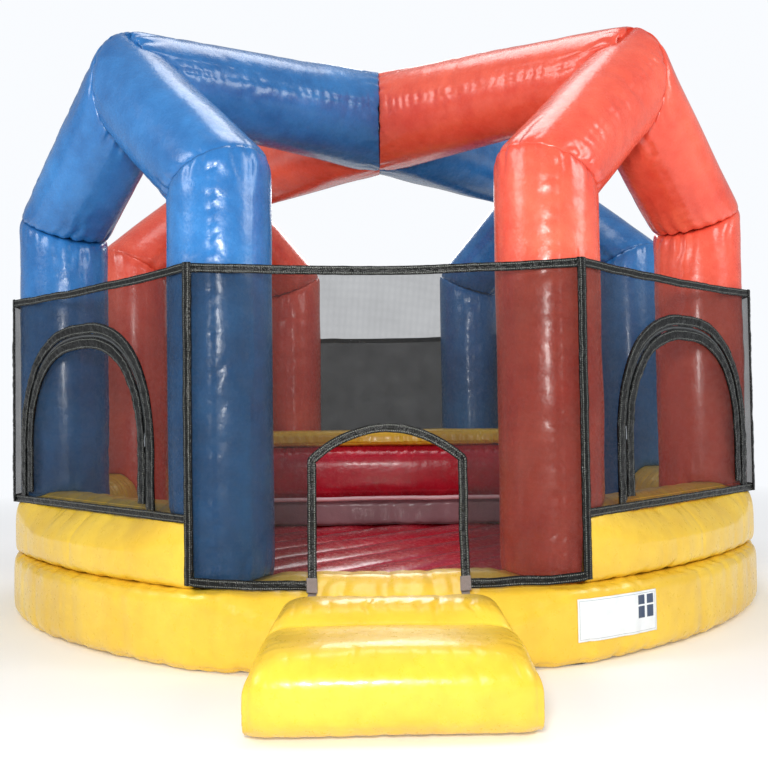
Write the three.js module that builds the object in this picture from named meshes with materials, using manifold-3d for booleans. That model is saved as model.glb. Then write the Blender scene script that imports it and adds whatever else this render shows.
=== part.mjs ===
// Octagonal inflatable bounce house with a netted play area, two arch doors and an entrance step.
// Millimetres, +Z up. The origin is the middle of the octagon on the ground; the entrance faces -Y.
// Air-filled chambers are plain closed solids of their inflated size.
import * as THREE from "three";
import { mergeVertices } from "three/addons/utils/BufferGeometryUtils.js";
import Module from "manifold-3d";

const wasm = await Module();
wasm.setup();

// ---------------------------------------------------------------- driving dimensions
const GAP = 0.4; // clearance between pieces that are cut to fit each other
const EIGHTH = Math.PI / 4; // the plan is an octagon
const ROUND_SIDES = 20; // facets round a column, strut or beam
const RING_SEGMENTS = 48; // facets round the base rings

const SHEET_THICK = 5; // ground sheet under the whole base
const SHEET_APOTHEM = 2600;

const LOWER_APOTHEM = 2435; // line through the lower ring's crown, at the middle of a face
const LOWER_CORNER_SHARE = 0.6; // 0 is a circle, 1 is a true octagon
const LOWER_INNER_HALF = 260;
const LOWER_OUTSIDE = { apothem: 2779, share: 0.15 }; // the faces bulge almost to a circle
const LOWER_MIDDLE = 250;
const LOWER_TOP = 500; // across the open front
const LOWER_PRESSED_TOP = 440; // under the upper ring

const UPPER_APOTHEM = 2398; // line through the upper ring's crown
const UPPER_CORNER_SHARE = 0.93;
const UPPER_INNER_HALF = 225;
const UPPER_OUTSIDE = { apothem: 2735, share: 0.3 };
const UPPER_TOP = 873;
const UPPER_MIDDLE = 620;

const FLOOR_TOP = 270; // crests of the mattress cells
const FLOOR_VALLEY = 228;
const FLOOR_PITCH = 400;
const FLOOR_APOTHEM = 2171;

const COLUMN_CIRCLE = 2465; // circle through the eight column centres
const COLUMN_RADIUS = 300;
const KINK_HEIGHT = 2733; // where a column turns into its strut
const APEX_HEIGHT = 3500; // where two struts meet
const BEAM_OUTER_HEIGHT = 3600;
const BEAM_OUTER_RADIUS = 265;
const BEAM_CENTRE_HEIGHT = 3765; // the four beams meet over the middle
const BEAM_CENTRE_RADIUS = 385;

const NET_APOTHEM = 2588; // plane of each net panel
const NET_THICK = 3;
const NET_HALF = 1068; // half the length of a panel
const NET_TOP = 2210;
const NET_BOTTOM = 800;
const FRONT_NET_BOTTOM = 470; // the front panel reaches down to the lower ring
const BAND = 50; // width of the black vinyl binding
const BAND_THICK = 5;

const ENTRANCE_HALF = 432; // to the outside of the entrance binding
const ENTRANCE_SPRING = 1148;
const ENTRANCE_RISE = 178;

const DOOR_SHIFT = 100; // the arch doors sit this far toward the outer corner of their face
const DOOR_HALF = 845;
const DOOR_SPRING = 1150;
const DOOR_RISE = 830;
const DOOR_FOOT = 858;
const DOOR_BAND = 72;
const SLIDER_HEIGHT = 1270;

const STEP_WIDTH = 1260;

const BLOWER_X = 650;
const BLOWER_Y = 3440;
const BLOWER_AXIS = 290; // height of the impeller axis
const SLEEVE_HEIGHT = 195;
const SLEEVE_RADIUS = 155;

// ---------------------------------------------------------------- materials
function finish(color, roughness, metalness = 0) {
  return new THREE.MeshStandardMaterial({ color, roughness, metalness });
}
const blueVinyl = finish(0x2f74b5, 0.28);
const orangeVinyl = finish(0xf0604a, 0.28);
const yellowVinyl = finish(0xf5cf3a, 0.28);
const redVinyl = finish(0xc81c30, 0.25);
const mauveVinyl = finish(0x9c6468, 0.5);
const pinkPiping = finish(0xf0b8c0, 0.4);
const blackVinyl = finish(0x1a1c1a, 0.3);
const darkMesh = finish(0x30363a, 0.8);
const greyWebbing = finish(0x8f8380, 0.7);
const paleLabel = finish(0xe8ecee, 0.35);
const groundCloth = finish(0x4a4d52, 0.7);
const bluePlastic = finish(0x2a4a7a, 0.4);
const darkMetal = finish(0x3a3d40, 0.45, 0.8);
const zincSteel = finish(0xb8bcc0, 0.35, 1.0);

// ---------------------------------------------------------------- solids and meshes
const root = new THREE.Group();

function solidOf(geometry) {
  const bare = geometry.clone();
  bare.deleteAttribute("normal");
  bare.deleteAttribute("uv");
  const merged = mergeVertices(bare, 0.001);
  const vertProperties = new Float32Array(merged.attributes.position.array);
  const triVerts = new Uint32Array(merged.index.array);
  return new wasm.Manifold(new wasm.Mesh({ numProp: 3, vertProperties, triVerts }));
}

function geometryOf(solid) {
  const mesh = solid.getMesh();
  const geometry = new THREE.BufferGeometry();
  geometry.setAttribute("position", new THREE.BufferAttribute(new Float32Array(mesh.vertProperties), 3));
  geometry.setIndex(new THREE.BufferAttribute(new Uint32Array(mesh.triVerts), 1));
  geometry.computeVertexNormals();
  return geometry;
}

function addMesh(name, shape, material, parent = root) {
  const geometry = shape.isBufferGeometry ? shape : geometryOf(shape);
  const mesh = new THREE.Mesh(geometry, material);
  mesh.name = name;
  parent.add(mesh);
  return mesh;
}

function turned(angle) {
  // A group turned about the vertical axis: 0 faces the front (-Y), a quarter turn faces +X.
  const group = new THREE.Group();
  group.rotation.z = angle;
  root.add(group);
  return group;
}

function block(low, high) {
  // A box between two corners.
  const size = high.map((value, axis) => value - low[axis]);
  const box = new THREE.BoxGeometry(size[0], size[1], size[2]);
  box.translate(low[0] + size[0] / 2, low[1] + size[1] / 2, low[2] + size[2] / 2);
  return box;
}

function rod(from, to, radiusFrom, radiusTo = radiusFrom, sides = ROUND_SIDES) {
  // A straight round tube or cone between two points.
  const start = new THREE.Vector3(...from);
  const end = new THREE.Vector3(...to);
  const along = end.clone().sub(start);
  const length = along.length();
  const geometry = new THREE.CylinderGeometry(radiusTo, radiusFrom, length, sides);
  const turn = new THREE.Quaternion().setFromUnitVectors(new THREE.Vector3(0, 1, 0), along.normalize());
  geometry.applyQuaternion(turn);
  const middle = start.add(end).multiplyScalar(0.5);
  geometry.translate(middle.x, middle.y, middle.z);
  return geometry;
}

function beyond(point, normal, size = 9000) {
  // Everything on the far side of a plane, as a very large box.
  const box = new THREE.BoxGeometry(size, size, size);
  box.translate(0, size / 2, 0);
  const away = new THREE.Vector3(...normal).normalize();
  box.applyQuaternion(new THREE.Quaternion().setFromUnitVectors(new THREE.Vector3(0, 1, 0), away));
  box.translate(point[0], point[1], point[2]);
  return solidOf(box);
}

function upright(shape, thick, y) {
  // A flat shape drawn in (across, height), made into a plate whose outer face is at -y.
  const plate = new THREE.ExtrudeGeometry(shape, { depth: thick, bevelEnabled: false, curveSegments: 12 });
  plate.rotateX(Math.PI / 2);
  plate.translate(0, -(y - thick), 0);
  return plate;
}

function shapeOf(points) {
  return new THREE.Shape(points.map((point) => new THREE.Vector2(point[0], point[1])));
}

// ---------------------------------------------------------------- octagonal plan
function planRadius(angle, apothem, cornerShare) {
  // Distance from the middle to the outline: a circle that is drawn out toward the eight corners.
  const turns = Math.round(angle / EIGHTH);
  const offset = angle - turns * EIGHTH;
  return apothem * (1 + cornerShare * (1 / Math.cos(offset) - 1));
}

function planShape(apothem, cornerShare) {
  const points = [];
  for (let i = 0; i < RING_SEGMENTS; i += 1) {
    const angle = (i / RING_SEGMENTS) * Math.PI * 2;
    const radius = planRadius(angle, apothem, cornerShare);
    points.push([radius * Math.sin(angle), -radius * Math.cos(angle)]);
  }
  return shapeOf(points);
}

function slab(shape, low, high) {
  const plate = new THREE.ExtrudeGeometry(shape, { depth: high - low, bevelEnabled: false });
  plate.translate(0, 0, low);
  return plate;
}

function tubeSection(shape) {
  // Section of an inflated ring. A power of 1 is round, less is squarer and more is flatter.
  const steps = 20;
  const points = [];
  for (let i = 0; i <= steps; i += 1) {
    const angle = ((i % steps) / steps) * Math.PI * 2 - Math.PI / 2;
    const across = Math.cos(angle);
    const up = Math.sin(angle);
    const abovePower = across > 0 ? shape.powerOutside : shape.powerInside;
    const power = up < 0 ? shape.powerBelow : abovePower;
    const reach = up < 0 ? (shape.middle - shape.low) * 1.04 : (shape.high - shape.middle) * 1.03;
    const half = across > 0 ? shape.outer : shape.inner;
    const x = half * Math.sign(across) * Math.abs(across) ** power;
    const z = shape.middle + reach * Math.sign(up) * Math.abs(up) ** power;
    points.push([x, Math.min(shape.high, Math.max(shape.low, z))]);
  }
  return points;
}

function blend(angle, from, to) {
  // Goes from 0 to 1 as the angle off the front, or off a face's middle, goes through the given range in degrees.
  return THREE.MathUtils.smoothstep(Math.abs(angle), THREE.MathUtils.degToRad(from), THREE.MathUtils.degToRad(to));
}

function lowerShape(angle, grow) {
  // The lower ring is round across the open front, and flattened where the upper ring presses on it.
  const pressed = blend(Math.atan2(Math.sin(angle), Math.cos(angle)), 12, 21.5);
  const outside = planRadius(angle, LOWER_OUTSIDE.apothem, LOWER_OUTSIDE.share);
  return {
    inner: LOWER_INNER_HALF + grow,
    outer: outside - planRadius(angle, LOWER_APOTHEM, LOWER_CORNER_SHARE) + grow,
    low: SHEET_THICK + GAP - grow,
    middle: LOWER_MIDDLE,
    high: LOWER_TOP + (LOWER_PRESSED_TOP - LOWER_TOP) * pressed + grow,
    powerBelow: 0.4,
    powerInside: 1 - 0.68 * pressed,
    powerOutside: 1.25 - 0.93 * pressed,
  };
}

function upperShape(angle, grow) {
  // The upper ring's shoulder falls away in front of a net panel, and stands up again at the corners.
  const toCorner = blend(angle - Math.round(angle / EIGHTH) * EIGHTH, 8, 22.5);
  const outside = planRadius(angle, UPPER_OUTSIDE.apothem, UPPER_OUTSIDE.share);
  return {
    inner: UPPER_INNER_HALF + grow,
    outer: outside - planRadius(angle, UPPER_APOTHEM, UPPER_CORNER_SHARE) + grow,
    low: LOWER_PRESSED_TOP + GAP - grow,
    middle: UPPER_MIDDLE,
    high: UPPER_TOP + grow,
    powerBelow: 0.32,
    powerInside: 1,
    powerOutside: 1.45 - 0.75 * toCorner,
  };
}

function ringGeometry(apothem, cornerShare, shapeAt) {
  // A lathe ring whose radius and section then change with the angle round the plan.
  const profile = tubeSection(shapeAt(0)).map((point) => new THREE.Vector2(apothem + point[0], point[1]));
  const ring = new THREE.LatheGeometry(profile, RING_SEGMENTS);
  ring.rotateX(Math.PI / 2);
  const position = ring.attributes.position;
  for (let i = 0; i <= RING_SEGMENTS; i += 1) {
    const angle = ((i % RING_SEGMENTS) / RING_SEGMENTS) * Math.PI * 2;
    const section = tubeSection(shapeAt(angle));
    for (let j = 0; j < section.length; j += 1) {
      const radius = planRadius(angle, apothem, cornerShare) + section[j][0];
      position.setXYZ(i * section.length + j, radius * Math.sin(angle), -radius * Math.cos(angle), section[j][1]);
    }
  }
  return ring;
}

function lowerRingSolid(grow, turnedBy = 0) {
  const ring = ringGeometry(LOWER_APOTHEM, LOWER_CORNER_SHARE, (angle) => lowerShape(angle, grow));
  return solidOf(ring.rotateZ(turnedBy));
}

function upperRingSolid(grow) {
  return solidOf(ringGeometry(UPPER_APOTHEM, UPPER_CORNER_SHARE, (angle) => upperShape(angle, grow)));
}

// ---------------------------------------------------------------- base
addMesh("ground_sheet", slab(planShape(SHEET_APOTHEM, LOWER_CORNER_SHARE), 0, SHEET_THICK), groundCloth);
addMesh("lower_ring", lowerRingSolid(0), yellowVinyl);

// The upper ring is open at the front: its two ends stand at the front corners, let into the front columns.
function frontWedge(setBack = 0, turnedBy = 0) {
  const reach = 4000;
  const side = reach * Math.tan(EIGHTH / 2);
  const corners = [[0, -setBack], [-side, -reach - setBack], [side, -reach - setBack]];
  return solidOf(slab(shapeOf(corners), 200, 1000).rotateZ(turnedBy));
}
addMesh("upper_ring", upperRingSolid(0).subtract(frontWedge()), yellowVinyl);

// Mattress of parallel air cells that run diagonally across the octagon.
function mattress() {
  const span = 2400;
  const points = [[-span, SHEET_THICK + GAP], [span, SHEET_THICK + GAP]];
  const steps = 5;
  const cells = Math.round((2 * span) / FLOOR_PITCH);
  for (let cell = cells - 1; cell >= 0; cell -= 1) {
    for (let i = steps; i > 0; i -= 1) {
      const share = i / steps;
      const height = FLOOR_VALLEY + (FLOOR_TOP - FLOOR_VALLEY) * Math.sin(Math.PI * share);
      points.push([-span + (cell + share) * FLOOR_PITCH, height]);
    }
  }
  points.push([-span, FLOOR_VALLEY]);
  const cellsBlock = new THREE.ExtrudeGeometry(shapeOf(points), { depth: 2 * span, bevelEnabled: false });
  cellsBlock.rotateX(Math.PI / 2);
  cellsBlock.translate(0, span, 0);
  cellsBlock.rotateZ(EIGHTH);
  return solidOf(cellsBlock).intersect(solidOf(slab(planShape(FLOOR_APOTHEM, 0.66), 0, 400)));
}
addMesh("floor_mattress", mattress(), redVinyl);

// ---------------------------------------------------------------- back bolster
function cushion(plan, low, high, round) {
  const options = {
    depth: high - low - 2 * round,
    bevelEnabled: true,
    bevelThickness: round,
    bevelSize: round,
    bevelOffset: -round,
    bevelSegments: 3,
  };
  const body = new THREE.ExtrudeGeometry(shapeOf(plan), options);
  body.translate(0, 0, low + round);
  return body;
}
function bolsterPlan(front, frontHalf, backHalf, back = 1950) {
  return [[-frontHalf, front], [frontHalf, front], [backHalf, back], [-backHalf, back]];
}
const baseLow = FLOOR_TOP + GAP;
addMesh("bolster_base", slab(shapeOf(bolsterPlan(1600, 1360, 1050)), baseLow, 517), mauveVinyl);
addMesh("bolster_piping", rod([-1340, 1563, 536], [1340, 1563, 536], 20, 20, 10), pinkPiping);
addMesh("bolster_body", cushion(bolsterPlan(1560, 1390, 1060), 517.5, 1050, 110), redVinyl);
addMesh("bolster_cap", cushion(bolsterPlan(1585, 1370, 1055), 1050.5, 1205, 60), yellowVinyl);

// ---------------------------------------------------------------- columns, struts and beams
const chordHalf = COLUMN_CIRCLE * Math.sin(EIGHTH / 2);
const chordDistance = COLUMN_CIRCLE * Math.cos(EIGHTH / 2);
const strutSlope = Math.atan2(APEX_HEIGHT - KINK_HEIGHT, chordHalf);
const lowerRingTool = lowerRingSolid(GAP * 2);
const upperRingTool = upperRingSolid(GAP * 2);

// The space outside the seam between the two rings, and the seam itself, where no column reaches.
function outsideOf(apothem, low, high) {
  const inside = solidOf(slab(planShape(apothem, UPPER_CORNER_SHARE), low - 10, high + 10));
  return solidOf(slab(planShape(4000, 0), low, high)).subtract(inside);
}
const outsideGroove = outsideOf(UPPER_APOTHEM, 200, UPPER_MIDDLE).add(outsideOf(UPPER_APOTHEM - 150, 430, 452));
const outsideFrontFoot = outsideOf(UPPER_APOTHEM, 200, FRONT_NET_BOTTOM - 4);

function mitreNormal(side) {
  // Normal of the plane in which a column meets its strut, pointing from the column to the strut.
  const along = new THREE.Vector3(-side * Math.cos(strutSlope), 0, Math.sin(strutSlope));
  return along.add(new THREE.Vector3(0, 0, 1)).normalize();
}

function columnSolid(side, onUpperRing, frameAngle) {
  const x = side * chordHalf;
  const normal = mitreNormal(side);
  const kink = [x - normal.x * (GAP / 2), -chordDistance, KINK_HEIGHT - normal.z * (GAP / 2)];
  let column = solidOf(rod([x, -chordDistance, FLOOR_TOP + 1], [x, -chordDistance, KINK_HEIGHT + 400], COLUMN_RADIUS));
  column = column.subtract(beyond(kink, normal.toArray()));
  column = column.subtract(lowerRingSolid(GAP * 2, -frameAngle));
  if (onUpperRing) {
    return column.subtract(upperRingTool).subtract(outsideGroove);
  }
  // A front column takes in the end of the upper ring, and its other half comes down in front of it.
  const ringSide = upperRingSolid(GAP * 2).add(outsideGroove).subtract(frontWedge(4, -frameAngle));
  return column.subtract(ringSide).subtract(outsideFrontFoot);
}

function strutSolid(side) {
  const normal = mitreNormal(side);
  const kink = [side * chordHalf + normal.x * (GAP / 2), -chordDistance, KINK_HEIGHT + normal.z * (GAP / 2)];
  const run = new THREE.Vector3(-side * Math.cos(strutSlope), 0, Math.sin(strutSlope));
  const extra = 420;
  const start = [side * chordHalf - run.x * extra, -chordDistance, KINK_HEIGHT - run.z * extra];
  const end = [run.x * extra, -chordDistance, APEX_HEIGHT + run.z * extra];
  let strut = solidOf(rod(start, end, COLUMN_RADIUS));
  strut = strut.subtract(beyond(kink, normal.clone().negate().toArray()));
  return strut.subtract(beyond([(side * GAP) / 2, -chordDistance, APEX_HEIGHT], [-side, 0, 0]));
}

function strutTool(side) {
  const run = new THREE.Vector3(-side * Math.cos(strutSlope), 0, Math.sin(strutSlope));
  const end = [run.x * 420, -chordDistance, APEX_HEIGHT + run.z * 420];
  const tool = solidOf(rod([side * chordHalf, -chordDistance, KINK_HEIGHT], end, COLUMN_RADIUS + 2 * GAP));
  return tool.subtract(beyond([0, 0, 0], [-side, 0, 0]));
}

function beamSolid() {
  const outer = chordDistance + 60;
  const rise = (BEAM_CENTRE_HEIGHT - BEAM_OUTER_HEIGHT) / outer;
  const widening = (BEAM_CENTRE_RADIUS - BEAM_OUTER_RADIUS) / outer;
  const past = 420;
  const from = [0, -outer, BEAM_OUTER_HEIGHT];
  const to = [0, past, BEAM_CENTRE_HEIGHT + rise * past];
  let beam = solidOf(rod(from, to, BEAM_OUTER_RADIUS, BEAM_CENTRE_RADIUS + widening * past));
  beam = beam.subtract(beyond([0, -GAP, 0], [1, 1, 0]));
  beam = beam.subtract(beyond([0, -GAP, 0], [-1, 1, 0]));
  return beam.subtract(strutTool(-1)).subtract(strutTool(1));
}

// Each A-frame is two columns and two struts under one roof beam. Frames alternate in colour.
const frames = [
  { angle: EIGHTH, name: "front_right", left: "front_right", right: "right_front", color: orangeVinyl },
  { angle: 3 * EIGHTH, name: "back_right", left: "right_back", right: "back_right", color: blueVinyl },
  { angle: 5 * EIGHTH, name: "back_left", left: "back_left", right: "left_back", color: orangeVinyl },
  { angle: 7 * EIGHTH, name: "front_left", left: "left_front", right: "front_left", color: blueVinyl },
];
const beamShape = beamSolid();
for (const frame of frames) {
  const group = turned(frame.angle);
  for (const side of [-1, 1]) {
    const place = side < 0 ? frame.left : frame.right;
    const atEntrance = place === "front_left" || place === "front_right";
    addMesh(`column_${place}`, columnSolid(side, !atEntrance, frame.angle), frame.color, group);
    addMesh(`strut_${place}`, strutSolid(side), frame.color, group);
  }
  addMesh(`beam_${frame.name}`, beamShape, frame.color, group);
}

// ---------------------------------------------------------------- net panels
function archPoints(half, foot, spring, rise, power) {
  // Straight jambs and a curved head, from the left foot over the top to the right foot.
  const steps = 18;
  const points = [[-half, foot]];
  for (let i = 0; i <= steps; i += 1) {
    const angle = Math.PI - (Math.PI * i) / steps;
    const across = Math.sign(Math.cos(angle)) * Math.abs(Math.cos(angle)) ** (2 / power[0]);
    const up = Math.sin(angle) ** (2 / power[1]);
    points.push([half * across, spring + rise * up]);
  }
  points.push([half, foot]);
  return points;
}
const entrancePower = [2, 1]; // low curve that meets the jambs at a shoulder
const doorPower = [2.4, 2.4]; // full round head

function entranceArch(inset, foot) {
  const spring = ENTRANCE_SPRING - inset * 0.6;
  return archPoints(ENTRANCE_HALF - inset, foot, spring, ENTRANCE_RISE - inset * 0.25, entrancePower);
}

function doorArch(inset, foot, side) {
  const points = archPoints(DOOR_HALF - inset, foot, DOOR_SPRING, DOOR_RISE - inset, doorPower);
  return points.map((point) => [point[0] + side * DOOR_SHIFT, point[1]]);
}

function panelPlate(shape) {
  return upright(shape, NET_THICK, NET_APOTHEM + NET_THICK / 2);
}

const panelNames = ["front", "front_right", "right", "back_right", "back", "back_left", "left", "front_left"];
panelNames.forEach((name, index) => {
  const group = turned(index * EIGHTH);
  const corners = [[NET_HALF, NET_TOP], [-NET_HALF, NET_TOP]];
  let shape = shapeOf([[-NET_HALF, NET_BOTTOM], [NET_HALF, NET_BOTTOM], ...corners]);
  if (name === "front") {
    const arch = entranceArch(BAND, FRONT_NET_BOTTOM);
    shape = shapeOf([[-NET_HALF, FRONT_NET_BOTTOM], ...arch, [NET_HALF, FRONT_NET_BOTTOM], ...corners]);
  }
  if (name === "front_left" || name === "front_right") {
    const side = name === "front_left" ? -1 : 1;
    shape.holes.push(shapeOf(doorArch(82, DOOR_FOOT, side)));
  }
  addMesh(`net_${name}`, panelPlate(shape), darkMesh, group);
});

// Black vinyl binding: one continuous cage of bands sewn over the edges of the eight panels.
function octagonPrism(apothem, low, high) {
  const prism = new THREE.CylinderGeometry(apothem / Math.cos(EIGHTH / 2), apothem / Math.cos(EIGHTH / 2), high - low, 8);
  prism.rotateY(EIGHTH / 2);
  prism.rotateX(Math.PI / 2);
  prism.translate(0, 0, (low + high) / 2);
  return solidOf(prism);
}
const bandInner = NET_APOTHEM + NET_THICK / 2 + GAP;
const bandOuter = bandInner + BAND_THICK;

function netBinding() {
  let cage = octagonPrism(bandOuter, FRONT_NET_BOTTOM, NET_TOP + 4);
  cage = cage.subtract(octagonPrism(bandInner, FRONT_NET_BOTTOM - 50, NET_TOP + 50));
  // Below the side panels only the front face goes on down.
  cage = cage.subtract(solidOf(block([-3000, -3000, 300], [3000, 3000, NET_BOTTOM])).subtract(frontWedge(4)));
  const windowHalf = bandOuter * Math.tan(EIGHTH / 2) - 30;
  for (let index = 0; index < 8; index += 1) {
    const low = index === 0 ? FRONT_NET_BOTTOM + BAND : NET_BOTTOM + BAND;
    const opening = block([-windowHalf, -bandOuter - 60, low], [windowHalf, -bandInner + 60, NET_TOP - BAND]);
    opening.rotateZ(index * EIGHTH);
    cage = cage.subtract(solidOf(opening));
  }
  const trim = solidOf(upright(shapeOf(entranceArch(0, FRONT_NET_BOTTOM)), BAND_THICK, bandOuter));
  const passage = upright(shapeOf(entranceArch(BAND - 2, FRONT_NET_BOTTOM - 20)), BAND_THICK + 40, bandOuter + 20);
  return cage.add(trim).subtract(solidOf(passage));
}
addMesh("net_binding", netBinding(), blackVinyl);

// ---------------------------------------------------------------- zippered arch doors
for (const side of [-1, 1]) {
  const name = side < 0 ? "left" : "right";
  const group = turned(side < 0 ? 7 * EIGHTH : EIGHTH);
  // Fixed outer band: an arch with open feet.
  const outer = doorArch(0, NET_BOTTOM + BAND + 2, side);
  const inner = doorArch(DOOR_BAND, NET_BOTTOM + BAND + 2, side).reverse();
  addMesh(`door_trim_${name}`, upright(shapeOf([...outer, ...inner]), BAND_THICK, bandOuter), blackVinyl, group);
  // Flap of net that folds down and out about its sewn foot once the zip is open.
  addMesh(`door_flap_${name}`, panelPlate(shapeOf(doorArch(94, DOOR_FOOT + 6, side))), darkMesh, group);
  const flapOuter = doorArch(96, DOOR_FOOT + 24, side);
  const flapInner = doorArch(96 + DOOR_BAND, DOOR_FOOT + 24, side).reverse();
  const flapBand = upright(shapeOf([...flapOuter, ...flapInner]), BAND_THICK, bandOuter);
  addMesh(`door_flap_band_${name}`, flapBand, blackVinyl, group);
  // Zip slider with its pull, on the straight part of the jamb nearest the entrance.
  const x = side * DOOR_SHIFT - side * (DOOR_HALF - 86);
  const face = bandInner;
  let slider = solidOf(block([x - 5, -face - 9, SLIDER_HEIGHT - 16], [x + 5, -face - 0.3, SLIDER_HEIGHT + 16]));
  slider = slider.add(solidOf(block([x - 4, -face - 12, SLIDER_HEIGHT - 60], [x + 4, -face - 8, SLIDER_HEIGHT])));
  addMesh(`zip_slider_${name}`, slider, zincSteel, group);
}

// ---------------------------------------------------------------- pieces that lie on the lower ring
function patch(angle, width, low, high, lift, thick) {
  // A piece of cloth that follows the outside of the lower ring.
  const shell = lowerRingSolid(lift + thick).subtract(lowerRingSolid(lift));
  const cut = block([-width / 2, -3200, low], [width / 2, -LOWER_APOTHEM, high]);
  cut.rotateZ(angle);
  return shell.intersect(solidOf(cut));
}

// Webbing ties that hold the feet of the entrance binding down to the ring.
for (const side of [-1, 1]) {
  const name = side < 0 ? "left" : "right";
  const x = side * (ENTRANCE_HALF - BAND / 2);
  const front = bandOuter + GAP;
  const strip = solidOf(block([x - 23, -front - 3, 425], [x + 23, -front, 525]));
  const shell = lowerRingSolid(4).subtract(lowerRingTool);
  const tail = shell.intersect(solidOf(block([x - 23, -3000, 370], [x + 23, -front + 1, 530])));
  addMesh(`entrance_tie_${name}`, strip.add(tail).subtract(lowerRingTool), greyWebbing);
}

addMesh("safety_label", patch((26.8 * Math.PI) / 180, 560, 140, 370, 0.8, 2), paleLabel);
// Flap over the deflation port, in the middle of the back face; it lifts about its top edge.
const flapFace = LOWER_OUTSIDE.apothem + 2.5;
addMesh("deflation_flap", block([-180, flapFace, 152], [180, flapFace + 4, 372]), yellowVinyl);

// Anchor points at the two back corners: a webbing tab with a loop, and a steel D-ring hung in it.
const anchorRadius = 2822;
const anchorHeight = 95;
function dRing() {
  const hoop = new THREE.TorusGeometry(34, 4.5, 6, 16);
  hoop.rotateX(Math.PI / 2);
  const lowerHalf = solidOf(hoop).subtract(solidOf(block([-60, -20, 0], [60, 20, 60])));
  return lowerHalf.add(solidOf(rod([-38, 0, 0], [38, 0, 0], 4.5, 4.5, 8)));
}
function anchorTab(angle) {
  // The loop is drawn at the front and turned round to its corner.
  const y = -anchorRadius;
  const z = anchorHeight;
  const pieces = [rod([-16, y, z], [16, y, z], 12, 12, 12), block([-16, y - 2, z + 9], [16, y + 24, z + 40])];
  const bore = rod([-40, y, z], [40, y, z], 7, 7, 12).rotateZ(angle);
  let tab = patch(angle, 44, 104, 240, 0.8, 8);
  for (const piece of pieces) {
    tab = tab.add(solidOf(piece.rotateZ(angle)));
  }
  return tab.subtract(lowerRingTool).subtract(solidOf(bore));
}
for (const side of [-1, 1]) {
  const name = side < 0 ? "left" : "right";
  const angle = side * 3.5 * EIGHTH;
  addMesh(`anchor_tab_${name}`, anchorTab(angle), greyWebbing);
  const ring = addMesh(`anchor_ring_${name}`, dRing(), zincSteel, turned(angle));
  ring.position.set(0, -anchorRadius, anchorHeight);
}

// ---------------------------------------------------------------- entrance step
function lobe(middleY, halfDepth, top, power) {
  // A pillow whose rounded section runs across the entrance.
  const steps = 20;
  const points = [];
  for (let i = 0; i < steps; i += 1) {
    const angle = (i / steps) * Math.PI * 2;
    const across = Math.cos(angle);
    const up = Math.sin(angle);
    const y = middleY + halfDepth * Math.sign(across) * Math.abs(across) ** power;
    const z = top / 2 + (top / 2) * 1.03 * Math.sign(up) * Math.abs(up) ** power;
    points.push([-y, Math.min(top, Math.max(0, z))]);
  }
  const round = 80;
  const options = {
    depth: STEP_WIDTH - 2 * round,
    bevelEnabled: true,
    bevelThickness: round,
    bevelSize: round * 0.6,
    bevelOffset: -round * 0.6,
    bevelSegments: 3,
  };
  const body = new THREE.ExtrudeGeometry(shapeOf(points.reverse()), options);
  body.translate(0, 0, -(STEP_WIDTH - 2 * round) / 2);
  // The section's first axis becomes -Y, its second +Z, and the extrusion runs along X.
  const basis = new THREE.Matrix4().makeBasis(
    new THREE.Vector3(0, -1, 0),
    new THREE.Vector3(0, 0, 1),
    new THREE.Vector3(-1, 0, 0),
  );
  return body.applyMatrix4(basis);
}
const stepFront = solidOf(lobe(-3395, 345, 372, 0.62));
const stepBack = solidOf(lobe(-2925, 250, 450, 0.75));
addMesh("entrance_step", stepFront.add(stepBack).subtract(lowerRingTool), yellowVinyl);

// ---------------------------------------------------------------- inflation sleeve and blower
const blower = new THREE.Group();
blower.position.set(BLOWER_X, BLOWER_Y, BLOWER_AXIS);
root.add(blower);
const ductHalf = 100;
const ductTop = SLEEVE_HEIGHT - BLOWER_AXIS + ductHalf;
const ductBottom = SLEEVE_HEIGHT - BLOWER_AXIS - ductHalf;
const ductEnd = -330; // mouth of the outlet duct, toward the base
const sleeveEnd = BLOWER_Y - 240;

const sleeveFrom = [BLOWER_X, 2400, SLEEVE_HEIGHT];
let sleeve = solidOf(rod(sleeveFrom, [BLOWER_X, sleeveEnd, SLEEVE_HEIGHT], SLEEVE_RADIUS, SLEEVE_RADIUS, 24));
sleeve = sleeve.subtract(lowerRingTool).subtract(solidOf(block([0, 2000, 0], [1500, 2500, 600])));
const socketLow = [BLOWER_X - ductHalf - GAP, BLOWER_Y + ductEnd - GAP, SLEEVE_HEIGHT - ductHalf - GAP];
const socketHigh = [BLOWER_X + ductHalf + GAP, BLOWER_Y, SLEEVE_HEIGHT + ductHalf + GAP];
addMesh("inflation_sleeve", sleeve.subtract(solidOf(block(socketLow, socketHigh))), yellowVinyl);

function hoopOf(inner, outer, length, segments) {
  // A band round the Y axis, centred on the origin.
  const half = length / 2;
  const corners = [[inner, -half], [outer, -half], [outer, half], [inner, half], [inner, -half]];
  return new THREE.LatheGeometry(corners.map((corner) => new THREE.Vector2(corner[0], corner[1])), segments);
}
const strap = addMesh("sleeve_strap", hoopOf(SLEEVE_RADIUS + GAP * 2, SLEEVE_RADIUS + 5, 40, 24), greyWebbing);
strap.position.set(BLOWER_X, sleeveEnd - 50, SLEEVE_HEIGHT);

function alongX(from, to, radius, sides) {
  return solidOf(rod([from, 0, 0], [to, 0, 0], radius, radius, sides));
}

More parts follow.
